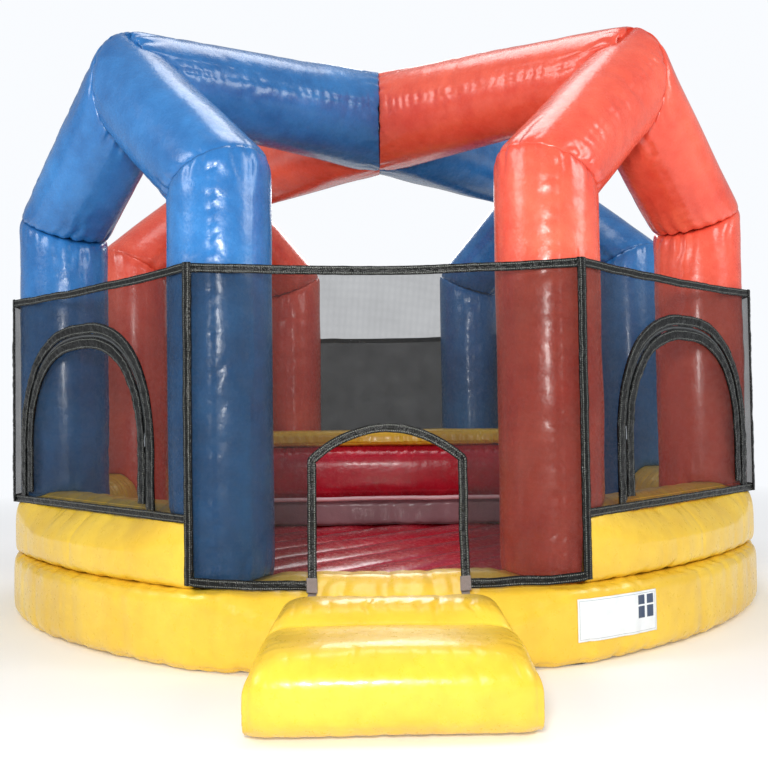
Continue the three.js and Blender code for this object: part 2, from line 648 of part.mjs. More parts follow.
function housing() {
  let shell = alongX(-120, 120, 200, 24);
  shell = shell.add(solidOf(block([-ductHalf, ductEnd, ductBottom], [ductHalf, 0, ductTop])));
  for (const x of [-85, 85]) {
    shell = shell.add(solidOf(block([x - 25, -170, -BLOWER_AXIS], [x + 25, 170, -150])));
  }
  for (const y of [-80, 80]) {
    shell = shell.add(solidOf(block([-14, y - 12, 150], [14, y + 12, 262])));
  }
  shell = shell.add(solidOf(block([-16, -110, 240], [16, 110, 268])));
  shell = shell.subtract(alongX(-108, 108, 186, 24));
  const inner = ductHalf - 10;
  shell = shell.subtract(solidOf(block([-inner, ductEnd - 20, ductBottom + 10], [inner, 0, ductTop - 10])));
  shell = shell.subtract(alongX(100, 130, 105, 24));
  return shell.subtract(alongX(-130, -100, 13, 12));
}
addMesh("blower_housing", housing(), bluePlastic, blower);

function impeller() {
  let wheel = alongX(-90, -84, 150, 24).add(alongX(-100, -62, 26, 16));
  const rim = hoopOf(122, 150, 6, 24);
  rim.rotateZ(Math.PI / 2);
  rim.translate(70, 0, 0);
  wheel = wheel.add(solidOf(rim));
  const blades = 12;
  for (let i = 0; i < blades; i += 1) {
    const blade = block([-87, 120, -2], [72, 148, 2]);
    blade.rotateX((i / blades) * Math.PI * 2);
    wheel = wheel.add(solidOf(blade));
  }
  return wheel.subtract(alongX(-110, -50, 10.6, 12));
}
addMesh("blower_impeller", impeller(), darkMetal, blower);
addMesh("blower_motor", alongX(-250, -120 - GAP, 82, 24).add(alongX(-130, -66, 10, 12)), darkMetal, blower);

function grille() {
  let guard = solidOf(block([-132, -6, -2.5], [132, 6, 2.5]));
  guard = guard.add(solidOf(block([-6, -132, -2.5], [6, 132, 2.5])));
  for (const radius of [44, 88, 132]) {
    const hoop = hoopOf(radius - 5, radius + 5, 5, 16);
    hoop.rotateX(Math.PI / 2);
    guard = guard.add(solidOf(hoop));
  }
  return guard;
}
const guard = addMesh("blower_grille", grille(), darkMetal, blower);
guard.rotation.y = Math.PI / 2;
guard.position.x = 120 + GAP + 2.5;

export default root;
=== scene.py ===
"""Looks for the octagonal inflatable bounce house: air-filled vinyl skins, nets, bindings and blower.

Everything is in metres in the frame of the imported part: +Z up, the entrance faces -Y.
"""
import math

import bpy
import numpy as np
from mathutils import Matrix, Vector


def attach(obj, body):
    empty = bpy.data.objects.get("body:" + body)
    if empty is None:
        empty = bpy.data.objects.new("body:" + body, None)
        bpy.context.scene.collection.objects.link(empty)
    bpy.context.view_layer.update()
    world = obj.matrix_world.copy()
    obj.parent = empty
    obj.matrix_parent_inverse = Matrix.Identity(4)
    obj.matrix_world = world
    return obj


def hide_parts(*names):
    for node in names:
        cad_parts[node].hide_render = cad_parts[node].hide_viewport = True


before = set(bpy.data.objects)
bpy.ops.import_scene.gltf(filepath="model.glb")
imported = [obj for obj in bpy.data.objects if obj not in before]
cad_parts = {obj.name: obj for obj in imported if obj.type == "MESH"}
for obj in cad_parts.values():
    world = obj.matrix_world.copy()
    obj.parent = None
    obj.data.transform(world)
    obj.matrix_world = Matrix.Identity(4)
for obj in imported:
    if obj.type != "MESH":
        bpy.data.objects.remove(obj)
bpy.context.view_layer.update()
PI = math.pi
EIGHTH = PI / 4

# ---------------------------------------------------------------- camera, floor and lights
CAMERA_PLACE = (-0.050, -7.600, 1.387)
CAMERA_PITCH = math.radians(1.72)
CAMERA_YAW = math.radians(0.46)
CAMERA_ROLL = math.radians(-0.84)
CAMERA_LENS = 43.48


def make_camera():
    """Stands in front of the entrance and looks slightly up."""
    forward = Vector((math.sin(CAMERA_YAW) * math.cos(CAMERA_PITCH),
                      math.cos(CAMERA_YAW) * math.cos(CAMERA_PITCH), math.sin(CAMERA_PITCH)))
    level = forward.cross(Vector((0, 0, 1))).normalized()
    upward = level.cross(forward)
    right = level * math.cos(CAMERA_ROLL) + upward * math.sin(CAMERA_ROLL)
    top = upward * math.cos(CAMERA_ROLL) - level * math.sin(CAMERA_ROLL)
    data = bpy.data.cameras.new("camera")
    data.lens = CAMERA_LENS
    data.sensor_width = 36.0
    camera = bpy.data.objects.new("camera", data)
    basis = Matrix((right, top, -forward)).transposed().to_4x4()
    camera.matrix_world = Matrix.Translation(CAMERA_PLACE) @ basis
    bpy.context.scene.collection.objects.link(camera)
    bpy.context.scene.camera = camera


def area_light(name, place, target, size, energy, tint=(1.0, 1.0, 1.0)):
    """A round soft light at a place, aimed at a target."""
    data = bpy.data.lights.new(name, "AREA")
    data.shape = "DISK"
    data.size = size
    data.energy = energy
    data.color = tint
    lamp = bpy.data.objects.new(name, data)
    lamp.location = place
    aim = Vector(target) - Vector(place)
    lamp.rotation_euler = aim.to_track_quat("-Z", "Y").to_euler()
    bpy.context.scene.collection.objects.link(lamp)


make_camera()
area_light("flash", (-0.35, -7.7, 2.3), (0, 0, 1.2), 0.9, 230, (1.0, 0.985, 0.96))
area_light("left_softbox", (-6.5, -5.0, 5.5), (0, 0, 1.6), 3.2, 170)
area_light("right_softbox", (6.5, -4.5, 5.0), (0, 0, 1.6), 3.2, 170)
area_light("back_softbox", (0.5, 7.5, 6.5), (0, 0, 1.5), 4.0, 220)
area_light("top_softbox", (0, 0.5, 9.0), (0, 0, 0), 4.0, 150)

# ---------------------------------------------------------------- numbers: seeded noise and creases


def hashed(i, j, seed):
    """A fixed pseudo-random value from 0 to 1 for each whole-number place."""
    value = np.sin(i * 127.1 + j * 311.7 + seed * 74.7) * 43758.5453
    return value - np.floor(value)


def noise(x, y, seed, period=None):
    """Smooth noise from -1 to 1. A period makes it repeat along x, for a closed ring."""
    xi, yi = np.floor(x), np.floor(y)
    fx, fy = x - xi, y - yi
    u, v = fx * fx * (3 - 2 * fx), fy * fy * (3 - 2 * fy)
    x0, x1 = xi, xi + 1
    if period:
        x0, x1 = np.mod(x0, period), np.mod(x1, period)
    low = hashed(x0, yi, seed) * (1 - u) + hashed(x1, yi, seed) * u
    high = hashed(x0, yi + 1, seed) * (1 - u) + hashed(x1, yi + 1, seed) * u
    return (low * (1 - v) + high * v) * 2 - 1


def creases(along, away, spacing, depth, reach, seed, period=None):
    """How far cloth dips in creases that run away from a seam, between round puffs."""
    repeat = None if period is None else round(period / spacing)
    place = along / (spacing if period is None else period / repeat)
    bend = 0.3 * noise(place / 2.0, away / (0.8 * reach), seed, repeat / 2 if repeat else None)
    place = place + bend
    cell = np.round(place)
    number = np.mod(cell, repeat) if repeat else cell
    offset = np.abs(place - cell)
    valley = np.exp(-((offset / 0.2) ** 1.4))
    strength = 0.25 + 0.75 * hashed(number, 0.0, seed + 3.0) ** 1.5
    own_reach = reach * (0.45 + 1.1 * hashed(number, 1.0, seed + 5.0))
    return depth * strength * (valley - 0.25) * np.exp(-((np.abs(away) / own_reach) ** 1.4))


def smooth_step(value, low, high):
    """From 0 at low to 1 at high, level at both."""
    share = np.clip((value - low) / (high - low), 0, 1)
    return share * share * (3 - 2 * share)


def groove(away, depth, width):
    """The pinch at a sewn seam."""
    return depth * np.exp(-((np.abs(away) / width) ** 1.2))


def from_nearest(value, spacing):
    """Distance from the nearest multiple of the spacing."""
    return value - np.round(value / spacing) * spacing


def around_from(angle, place):
    """Angle from a place on a circle, from half a turn back to half a turn on."""
    return np.mod(angle - place + PI, 2 * PI) - PI


def run_along(path):
    """Distance along a line of points, at each of them."""
    return np.concatenate([[0], np.cumsum(np.linalg.norm(np.diff(path, axis=0), axis=1))])


def units(rows):
    """The same directions, each one long."""
    return rows / np.linalg.norm(rows, axis=1)[:, None]


def spaced(count, dense):
    """Numbers from 0 to 1, closer together near both ends."""
    t = np.linspace(0, 1, count)
    return t - dense * np.sin(2 * PI * t) / (2 * PI)


def plan_radius(angle, apothem, share):
    """Outline of the base: a circle drawn out toward the eight corners. Angle 0 is the front."""
    return apothem * (1 + share * (1 / np.cos(from_nearest(angle, EIGHTH)) - 1))


# ---------------------------------------------------------------- meshes


class Skin:
    """Points, faces and cloth coordinates gathered from several grids into one mesh."""

    def __init__(self):
        self.points, self.faces, self.coords, self.count = [], [], [], 0

    def grid(self, points, coords=None, wrap=False):
        """Adds a grid of points and its faces. wrap joins its last column to its first."""
        rows, columns = points.shape[:2]
        if coords is None:
            coords = np.zeros((rows, columns, 2))
        index = self.count + np.arange(rows * columns).reshape(rows, columns)
        across = np.roll(index, -1, axis=1) if wrap else index[:, 1:]
        near = index if wrap else index[:, :-1]
        quads = np.stack([near[:-1], across[:-1], across[1:], near[1:]], axis=-1).reshape(-1, 4)
        self.faces.append(quads)
        self.points.append(points.reshape(-1, 3))
        self.coords.append(coords.reshape(-1, 2))
        self.count += rows * columns
        return index

    def fan(self, ring, middle):
        """Closes a ring of points with triangles to a middle point."""
        centre = self.count
        self.points.append(np.array(middle, float).reshape(1, 3))
        self.coords.append(np.zeros((1, 2)))
        self.count += 1
        after = np.roll(ring, -1)
        self.faces.append(np.stack([ring, after, np.full(len(ring), centre)], axis=-1))

    def cap_ends(self, index, first, last):
        """Closes both ends of a grid that runs round itself."""
        self.fan(index[0][::-1], first)
        self.fan(index[-1], last)

    def join_ends(self, index):
        """Joins a grid's last row to its first."""
        first, last = index[0], index[-1]
        self.faces.append(np.stack([last, np.roll(last, -1), np.roll(first, -1), first], axis=-1))

    def join_rims(self, upper, lower):
        """A wall between the outer edges of two grids."""
        rims = [np.concatenate([g[0, :-1], g[:-1, -1], g[-1, :0:-1], g[:0:-1, 0]]) for g in (upper, lower)]
        self.faces.append(np.stack([*rims, np.roll(rims[1], -1), np.roll(rims[0], -1)], axis=-1))

    def piece(self, name, material, body, slot, replaces=(), outward=True, smooth=True):
        """Makes the mesh, with its faces turned outward, and places it."""
        points = np.concatenate(self.points)
        coords = np.concatenate(self.coords)
        faces = [face for block in self.faces for face in block.tolist()]
        if outward and signed_volume(points, self.faces) < 0:
            faces = [face[::-1] for face in faces]
        mesh = bpy.data.meshes.new(name)
        mesh.from_pydata(points.tolist(), [], faces)
        layer = mesh.uv_layers.new(name="cloth")
        corner = np.zeros(len(mesh.loops), np.int32)
        mesh.loops.foreach_get("vertex_index", corner)
        layer.data.foreach_set("uv", coords[corner].astype(np.float32).ravel())
        mesh.polygons.foreach_set("use_smooth", [smooth] * len(mesh.polygons))
        mesh.materials.append(material)
        mesh.update()
        return place_piece(bpy.data.objects.new(name, mesh), body, replaces)


def signed_volume(points, blocks):
    """Six times the volume that the faces close in: negative if they face inward."""
    total = 0.0
    for block in blocks:
        for k in range(1, block.shape[1] - 1):
            a, b, c = points[block[:, 0]], points[block[:, k]], points[block[:, k + 1]]
            total += float((a * np.cross(b, c)).sum())
    return total


def place_piece(piece, body, replaces=()):
    """Links a piece, rides it on its body and hides the parts it stands for."""
    bpy.context.scene.collection.objects.link(piece)
    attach(piece, body)
    if replaces:
        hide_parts(*replaces)
    return piece


def loft(name, around, along, place, material, slot, node, closed=False, fill=0.95):
    """A closed air chamber. place(u, rho, t) gives points; u runs round it and t along it."""
    skin = Skin()
    u, t = np.meshgrid(around, along)
    points, coords = place(u, np.ones_like(u), t)
    if closed:
        points, coords = points[:-1], coords[:-1]
    index = skin.grid(points, coords, wrap=True)
    if closed:
        skin.join_ends(index)
    else:
        for end in (0, -1):
            ring = index[end]
            for rho in (0.85, 0.65, 0.4):
                flat = place(around, np.full_like(around, rho), np.full_like(around, along[end]))[0]
                new = skin.count + np.arange(len(around))
                skin.points.append(flat)
                skin.coords.append(np.zeros((len(around), 2)))
                skin.count += len(around)
                quads = np.stack([ring, np.roll(ring, -1), np.roll(new, -1), new], axis=-1)
                skin.faces.append(quads if end == -1 else quads[:, ::-1])
                ring = new
            middle = skin.points[-1].mean(axis=0)
            skin.fan(ring if end == -1 else ring[::-1], middle)
    piece = skin.piece(name, material, "structure", slot, (node,))
    return piece


SWELL_FRAMES = 20
SWELL_CAP = 0.012


def inflate(piece, freedom):
    """Lets a pad's cloth swell under air pressure and keeps the result.

    No point moves further than SWELL_CAP. freedom(x, y, z) goes from 0, where the pad rests on a
    neighbour or ends, to 1.
    """
    scene = bpy.context.scene
    mesh = piece.data
    start = np.zeros(len(mesh.vertices) * 3)
    mesh.vertices.foreach_get("co", start)
    start = start.reshape(-1, 3)
    air = piece.modifiers.new("air", "CLOTH")
    cloth = air.settings
    cloth.quality = 4
    cloth.mass = 0.3
    cloth.use_pressure = True
    cloth.uniform_pressure_force = 4.0
    cloth.tension_stiffness = 12
    cloth.compression_stiffness = 12
    cloth.bending_stiffness = 0.4
    cloth.effector_weights.gravity = 0
    air.point_cache.frame_start = 1
    air.point_cache.frame_end = SWELL_FRAMES
    for number in range(1, SWELL_FRAMES + 1):
        scene.frame_set(number)
    graph = bpy.context.evaluated_depsgraph_get()
    swollen = piece.evaluated_get(graph)
    moved = np.zeros(len(start) * 3)
    swollen.to_mesh().vertices.foreach_get("co", moved)
    swollen.to_mesh_clear()
    piece.modifiers.remove(air)
    scene.frame_set(1)
    shift = moved.reshape(-1, 3) - start
    length = np.linalg.norm(shift, axis=1)[:, None]
    shift = shift * np.minimum(1, SWELL_CAP / np.maximum(length, 1e-9))
    shift = shift * freedom(start[:, 0], start[:, 1], start[:, 2])[:, None]
    mesh.vertices.foreach_set("co", (start + shift).ravel())
    mesh.update()


def turn(points, angle):
    """Turns points about the vertical axis."""
    c, s = math.cos(angle), math.sin(angle)
    x, y, z = points[..., 0], points[..., 1], points[..., 2]
    return np.stack([x * c - y * s, x * s + y * c, z], axis=-1)


# ---------------------------------------------------------------- materials


class Nodes:
    """A short way to write a material's nodes."""

    def __init__(self, name):
        self.material = bpy.data.materials.new(name)
        self.material.use_nodes = True
        self.tree = self.material.node_tree
        self.shader = self.tree.nodes["Principled BSDF"]
        self.output = self.tree.nodes["Material Output"]

    def add(self, kind, inputs=None, **settings):
        made = self.tree.nodes.new(kind)
        for key, value in settings.items():
            setattr(made, key, value)
        for key, value in (inputs or {}).items():
            self.feed(made.inputs[key], value)
        return made

    def feed(self, socket, value):
        if isinstance(value, bpy.types.NodeSocket):
            self.tree.links.new(value, socket)
        else:
            socket.default_value = value

    def math(self, operation, *values):
        made = self.add("ShaderNodeMath", operation=operation)
        for socket, value in zip(made.inputs, values):
            self.feed(socket, value)
        return made.outputs[0]

    def apart(self, value, other):
        """How far a value is from another, either way."""
        return self.math("ABSOLUTE", self.math("SUBTRACT", value, other))

    def spread(self, value, low, high, to_low, to_high):
        """A value from low to high, mapped to a value from to_low to to_high."""
        inputs = {"Value": value, "From Min": low, "From Max": high, "To Min": to_low, "To Max": to_high}
        return self.add("ShaderNodeMapRange", inputs).outputs[0]

    def noise(self, vector, scale, detail=3.0, roughness=0.55):
        inputs = {"Vector": vector, "Scale": scale, "Detail": detail, "Roughness": roughness}
        return self.add("ShaderNodeTexNoise", inputs).outputs["Fac"]

    def mix(self, share, first, second, blend="MIX"):
        made = self.add("ShaderNodeMix", data_type="RGBA", blend_type=blend)
        self.feed(made.inputs[0], share)
        self.feed(made.inputs[6], first)
        self.feed(made.inputs[7], second)
        return made.outputs[2]

    def bump(self, height, distance, strength=1.0, under=None):
        inputs = {"Height": height, "Distance": distance, "Strength": strength}
        made = self.add("ShaderNodeBump", inputs)
        if under is not None:
            self.feed(made.inputs["Normal"], under)
        return made.outputs[0]

    def place(self):
        return self.add("ShaderNodeTexCoord").outputs["Object"]

    def cloth(self):
        made = self.add("ShaderNodeUVMap", uv_map="cloth")
        parts = self.add("ShaderNodeSeparateXYZ", {"Vector": made.outputs[0]})
        return made.outputs[0], parts.outputs[0], parts.outputs[1]

    def wave(self, value, period):
        """A smooth wave from 0 to 1 with that period."""
        turned = self.math("SINE", self.math("MULTIPLY", value, 2 * PI / period))
        return self.math("MULTIPLY_ADD", turned, 0.5, 0.5)

    def set(self, **values):
        for key, value in values.items():
            self.feed(self.shader.inputs[key.replace("_", " ")], value)


def colour(code, strength=1.0):
    """A colour written as 0xRRGGBB, as linear light."""
    parts = [((code >> shift) & 255) / 255 for shift in (16, 8, 0)]
    linear = [p / 12.92 if p <= 0.04045 else ((p + 0.055) / 1.055) ** 2.4 for p in parts]
    return (*[min(1.0, p * strength) for p in linear], 1.0)


def vinyl(name, main, shade, rough=0.24, dust=0.5):
    """Coated fabric: faint scrim under a glossy coat, handled and dusty low down."""
    n = Nodes(name)
    place = n.place()
    _, u, v = n.cloth()
    broad = n.noise(place, 1.7, 2.0)
    cloudy = n.noise(place, 11.0, 4.0)
    share = n.spread(n.math("ADD", broad, n.math("MULTIPLY", cloudy, 0.5)), 0.55, 1.0, 0.0, 1.0)
    tint = n.mix(share, colour(shade), colour(main))
    height = n.add("ShaderNodeSeparateXYZ", {"Vector": place}).outputs[2]
    low_down = n.spread(height, 0.0, 0.28, 1.0, 0.0)
    smudge = n.spread(n.noise(place, 6.0, 5.0, 0.65), 0.45, 0.75, 0.0, dust)
    tint = n.mix(n.math("MULTIPLY", low_down, smudge), tint, colour(0x8a7a58))
    scrim = n.math("MULTIPLY", n.wave(u, 0.003), n.wave(v, 0.003))
    tint = n.mix(n.math("MULTIPLY", scrim, 0.07), tint, colour(shade))
    scuffs = n.spread(n.noise(place, 24.0, 5.0, 0.7), 0.35, 0.75, rough - 0.05, rough + 0.16)
    wrinkle = n.bump(n.noise(place, 7.0, 3.0, 0.6), 0.010, 0.55)
    crinkle = n.bump(n.noise(place, 34.0, 4.0, 0.6), 0.0022, 0.6, wrinkle)
    weave = n.bump(scrim, 0.0002, 0.4, crinkle)
    n.set(Base_Color=tint, Roughness=scuffs, Normal=weave)
    n.set(Coat_Weight=0.25, Coat_Roughness=0.12, Specular_IOR_Level=0.5)
    return n.material


blue_vinyl = vinyl("blue_vinyl", 0x3580c4, 0x1f5f9e)
orange_vinyl = vinyl("orange_vinyl", 0xf76a50, 0xde4a36)
yellow_vinyl = vinyl("yellow_vinyl", 0xf2cb3c, 0xe0b52e, 0.3, 0.03)
red_vinyl = vinyl("red_vinyl", 0xd3203a, 0xb0142a, 0.22)
mauve_vinyl = vinyl("mauve_vinyl", 0xa48088, 0x8a646c, 0.42)
pink_vinyl = vinyl("pink_vinyl", 0xfbdde2, 0xf0c2ca, 0.34)


def stitched_vinyl(name, half_width, inset=0.011):
    """Black binding: glossy, crumpled, with a line of pale stitches near each edge."""
    n = Nodes(name)
    place = n.place()
    _, u, v = n.cloth()
    edge = n.apart(n.math("ABSOLUTE", v), half_width - inset)
    line = n.spread(edge, 0.0018, 0.0030, 1.0, 0.0)
    dash = n.spread(n.wave(u, 0.012), 0.25, 0.4, 0.0, 1.0)
    stitch = n.math("MULTIPLY", line, dash)
    ground = n.mix(n.noise(place, 16.0, 3.0), colour(0x040505), colour(0x101211))
    tint = n.mix(stitch, ground, colour(0x6f726d))
    crumple = n.bump(n.noise(place, 26.0, 4.0, 0.65), 0.010, 1.0)
    fine = n.bump(n.noise(place, 90.0, 3.0, 0.6), 0.0012, 0.7, crumple)
    raised = n.bump(n.math("SUBTRACT", stitch, n.spread(edge, 0.003, 0.008, 0.6, 0.0)), 0.0012, 0.8, fine)
    gloss = n.spread(n.noise(place, 30.0, 4.0), 0.3, 0.7, 0.16, 0.34)
    n.set(Base_Color=tint, Roughness=gloss, Normal=raised, Specular_IOR_Level=0.22)
    return n.material


def netting(name, open_share, thread, pitch=0.0065):
    """Knotted mesh: dark threads on a square lattice with see-through holes."""
    n = Nodes(name)
    _, u, v = n.cloth()
    lattice = n.math("MAXIMUM", n.wave(u, pitch), n.wave(v, pitch))
    fullness = n.noise(n.place(), 5.0, 3.0)
    solid = n.spread(lattice, 0.0, 1.0, 1.0 - open_share - 0.22, 1.0 - open_share + 0.13)
    solid = n.math("ADD", solid, n.spread(fullness, 0.3, 0.7, -0.03, 0.03))
    tint = n.mix(n.noise(n.place(), 60.0, 3.0), colour(thread), colour(thread, 1.8))
    n.set(Base_Color=tint, Roughness=0.62, Sheen_Weight=0.06, Sheen_Roughness=0.5, Specular_IOR_Level=0.25)
    n.set(Normal=n.bump(lattice, 0.0006, 0.6))
    clear = n.add("ShaderNodeBsdfTransparent")
    shown = n.add("ShaderNodeMixShader", {0: solid, 1: clear.outputs[0], 2: n.shader.outputs[0]})
    n.tree.links.new(shown.outputs[0], n.output.inputs["Surface"])
    return n.material


def webbing(name, code):
    """Woven strap: ribs across and a herringbone of two tones."""
    n = Nodes(name)
    place = n.place()
    _, u, v = n.cloth()
    slant = n.math("ADD", u, n.math("ABSOLUTE", v))
    ribs = n.wave(slant, 0.005)
    tint = n.mix(n.math("MULTIPLY", ribs, n.noise(place, 70.0, 3.0)), colour(code, 0.65), colour(code, 1.35))
    n.set(Base_Color=tint, Roughness=0.7, Sheen_Weight=0.2)
    n.set(Normal=n.bump(ribs, 0.0008, 0.9, n.bump(n.noise(place, 30.0, 3.0), 0.003, 0.6)))
    return n.material


def moulded(name, code, rough=0.42):
    """Moulded plastic with an even fine grain and rubbed high spots."""
    n = Nodes(name)
    place = n.place()
    grain = n.noise(place, 420.0, 2.0)
    rubbed = n.spread(n.noise(place, 9.0, 5.0, 0.7), 0.5, 0.8, 0.0, 0.5)
    tint = n.mix(rubbed, colour(code), colour(code, 1.5))
    worn = n.spread(n.noise(place, 40.0, 4.0), 0.3, 0.7, rough - 0.08, rough + 0.12)
    n.set(Base_Color=tint, Roughness=worn)
    n.set(Normal=n.bump(grain, 0.0004, 0.5))
    return n.material


def metal(name, code, rough, metallic=1.0):
    """Plated or painted steel with fine wear and speckled dulling."""
    n = Nodes(name)
    place = n.place()
    dull = n.noise(place, 60.0, 5.0, 0.7)
    tint = n.mix(n.spread(dull, 0.4, 0.7, 0.0, 1.0), colour(code), colour(code, 0.6))
    n.set(Base_Color=tint, Metallic=metallic, Roughness=n.spread(dull, 0.3, 0.7, rough - 0.08, rough + 0.18))
    n.set(Normal=n.bump(n.noise(place, 300.0, 3.0), 0.0003, 0.5))
    return n.material


binding_vinyl = stitched_vinyl("binding_vinyl", 0.025)
arch_vinyl = stitched_vinyl("arch_vinyl", 0.036, 0.012)
front_netting = netting("front_netting", 0.50, 0x0b0d0e)
# The back panels' netting is drawn nearly shut (open share 0.10) with near-black thread. This is painted
# shade: it makes them as dark as the dim interior and dark surroundings seen through them, darker than a real
# net of this mesh would look.
back_netting_painted_shade = netting("back_netting_painted_shade", 0.10, 0x0a0c0d)
tie_webbing = webbing("tie_webbing", 0x8f8380)
anchor_webbing = webbing("anchor_webbing", 0x6f6a66)
body_plastic = moulded("body_plastic", 0x2a4f86)
steel = metal("steel", 0xb9bdc2, 0.3)
dark_steel = metal("dark_steel", 0x34373a, 0.42, 0.7)


def ground_material():
    """Coarse tarpaulin under the base."""
    n = Nodes("ground_tarpaulin")
    place = n.place()
    _, u, v = n.cloth()
    weave = n.math("MULTIPLY", n.wave(u, 0.008), n.wave(v, 0.008))
    tint = n.mix(n.noise(place, 8.0, 4.0), colour(0x34373b), colour(0x55585d))
    n.set(Base_Color=tint, Roughness=0.6, Normal=n.bump(weave, 0.0008, 0.7))
    return n.material


def label_material(width, height):
    """Plain glossy sticker with a thin border and four plain dark squares, and no wording."""
    n = Nodes("blank_label")
    _, u, v = n.cloth()
    side = n.math("SUBTRACT", width / 2 - 0.012, n.math("ABSOLUTE", u))
    end = n.math("SUBTRACT", height / 2 - 0.012, n.math("ABSOLUTE", v))
    inside = n.math("MINIMUM", side, end)
    border = n.math("LESS_THAN", n.math("ABSOLUTE", inside), 0.0016)
    across = n.apart(n.apart(u, 0.195), 0.035)
    upward = n.apart(n.apart(v, 0.035), 0.033)
    square = n.math("LESS_THAN", n.math("MAXIMUM", across, upward), 0.026)
    ground = n.mix(n.noise(n.place(), 14.0, 4.0), colour(0xd4d9dc), colour(0xf2f5f6))
    tint = n.mix(border, ground, colour(0xa8b0b6))
    tint = n.mix(square, tint, colour(0x2c3f5c))
    n.set(Base_Color=tint, Roughness=0.28, Coat_Weight=0.3, Coat_Roughness=0.1)
    n.set(Normal=n.bump(n.noise(n.place(), 20.0, 3.0), 0.002, 0.6))
    return n.material


# ---------------------------------------------------------------- floor and surroundings
def make_floor():
    """A wide white floor."""
    size = 60.0
    mesh = bpy.data.meshes.new("studio_floor")
    corners = [(-size, -size, -0.002), (size, -size, -0.002), (size, size, -0.002), (-size, size, -0.002)]
    mesh.from_pydata(corners, [], [(0, 1, 2, 3)])
    n = Nodes("studio_floor")
    tint = n.mix(n.noise(n.place(), 0.6, 3.0), colour(0xf1f1f0), colour(0xfafafa))
    n.set(Base_Color=tint, Roughness=0.75)
    # The sweep brightens with distance until it meets the white background without an edge.
    parts = n.add("ShaderNodeSeparateXYZ", {"Vector": n.place()}).outputs
    across = n.math("ADD", n.math("POWER", parts[0], 2.0), n.math("POWER", parts[1], 2.0))
    far = n.spread(n.math("SQRT", across), 3.2, 11.0, 0.0, 1.0)
    glow = n.add("ShaderNodeEmission", {"Color": (0.95, 0.97, 1.0, 1.0), "Strength": 1.0})
    near = n.add("ShaderNodeEmission", {"Color": (1.0, 1.0, 1.0, 1.0), "Strength": 0.12})
    lit = n.add("ShaderNodeAddShader", {0: near.outputs[0], 1: n.shader.outputs[0]})
    shown = n.add("ShaderNodeMixShader", {0: far, 1: lit.outputs[0], 2: glow.outputs[0]})
    n.tree.links.new(shown.outputs[0], n.output.inputs["Surface"])
    mesh.materials.append(n.material)
    floor = bpy.data.objects.new("studio_floor", mesh)
    bpy.context.scene.collection.objects.link(floor)


def make_world():
    """A white surrounding, dimmer as light than it looks."""
    world = bpy.data.worlds.new("studio")
    bpy.context.scene.world = world
    world.use_nodes = True
    sky = world.node_tree.nodes["Background"]
    sky.inputs["Color"].default_value = (0.95, 0.97, 1.0, 1.0)
    tree = world.node_tree
    path = tree.nodes.new("ShaderNodeLightPath")
    strength = tree.nodes.new("ShaderNodeMapRange")
    strength.inputs["To Min"].default_value = 0.42
    strength.inputs["To Max"].default_value = 1.0
    tree.links.new(path.outputs["Is Camera Ray"], strength.inputs["Value"])
    tree.links.new(strength.outputs[0], sky.inputs["Strength"])


make_floor()
make_world()
bpy.context.scene.view_settings.view_transform = "Standard"

# ---------------------------------------------------------------- base rings
SHEET_TOP = 0.005
LOWER = {
    "apothem": 2.435, "share": 0.6, "inner": 0.260, "outside": (2.779, 0.15), "middle": 0.250, "low": 0.0054,
}
UPPER = {
    "apothem": 2.398, "share": 0.93, "inner": 0.225, "outside": (2.735, 0.3), "middle": 0.620, "low": 0.4404,
}
# Each seam: its angle round the tube, and how deep its groove and its creases are.
LOWER_SEAMS = [(-0.80, 0.005, 0.014), (0.90, 0.003, 0.012), (2.2, 0.006, 0.012)]
UPPER_SEAMS = [(-0.80, 0.003, 0.008), (1.05, 0.004, 0.007), (2.3, 0.006, 0.012)]
COLUMN_CIRCLE = 2.465
COLUMN_RADIUS = 0.300
FRONT_EDGE = EIGHTH / 2


def ring_shape(ring, angle):
    """Outer half width, crown height and the powers below, inside and outside of a ring tube at an angle."""
    angle = np.asarray(angle, float)
    outer = plan_radius(angle, *ring["outside"]) - plan_radius(angle, ring["apothem"], ring["share"])
    if ring is LOWER:
        pressed = smooth_step(np.abs(angle), math.radians(12), math.radians(21.5))
        return outer, 0.500 - 0.060 * pressed, 0.4, 1 - 0.68 * pressed, 1.25 - 0.93 * pressed
    off_middle = np.abs(from_nearest(angle, EIGHTH))
    to_corner = smooth_step(off_middle, math.radians(8), math.radians(22.5))
    return outer, 0.873 + 0 * angle, 0.32, 1.0 + 0 * angle, 1.45 - 0.75 * to_corner


def ring_section(ring, u, angle):
    """Outline of a ring tube: u is the angle round it, 0 outward and a quarter turn upward."""
    across, up = np.cos(u), np.sin(u)
    outer, high, below, inside, outside = ring_shape(ring, angle)
    power = np.where(up < 0, below, np.where(across > 0, outside, inside))
    reach = np.where(up < 0, (ring["middle"] - ring["low"]) * 1.04, (high - ring["middle"]) * 1.03)
    half = np.where(across > 0, outer, ring["inner"])
    x = half * np.sign(across) * np.abs(across) ** power
    z = ring["middle"] + reach * np.sign(up) * np.abs(up) ** power
    return x, np.clip(z, ring["low"], high)


def ring_crown(ring, x, angle):
    """Height of the ring's upper surface at x across it, or nothing where x misses it."""
    outer, high, _, inside, outside = ring_shape(ring, angle)
    half = np.where(x > 0, outer, ring["inner"])
    power = np.where(x > 0, outside, inside)
    across = np.clip(np.abs(x) / half, 0, 1) ** (1 / power)
    up = np.sqrt(np.clip(1 - across * across, 0, 1)) ** power
    crown = np.minimum(high, ring["middle"] + (high - ring["middle"]) * 1.03 * up)
    return np.where(np.abs(x) < half, crown, 0.0)


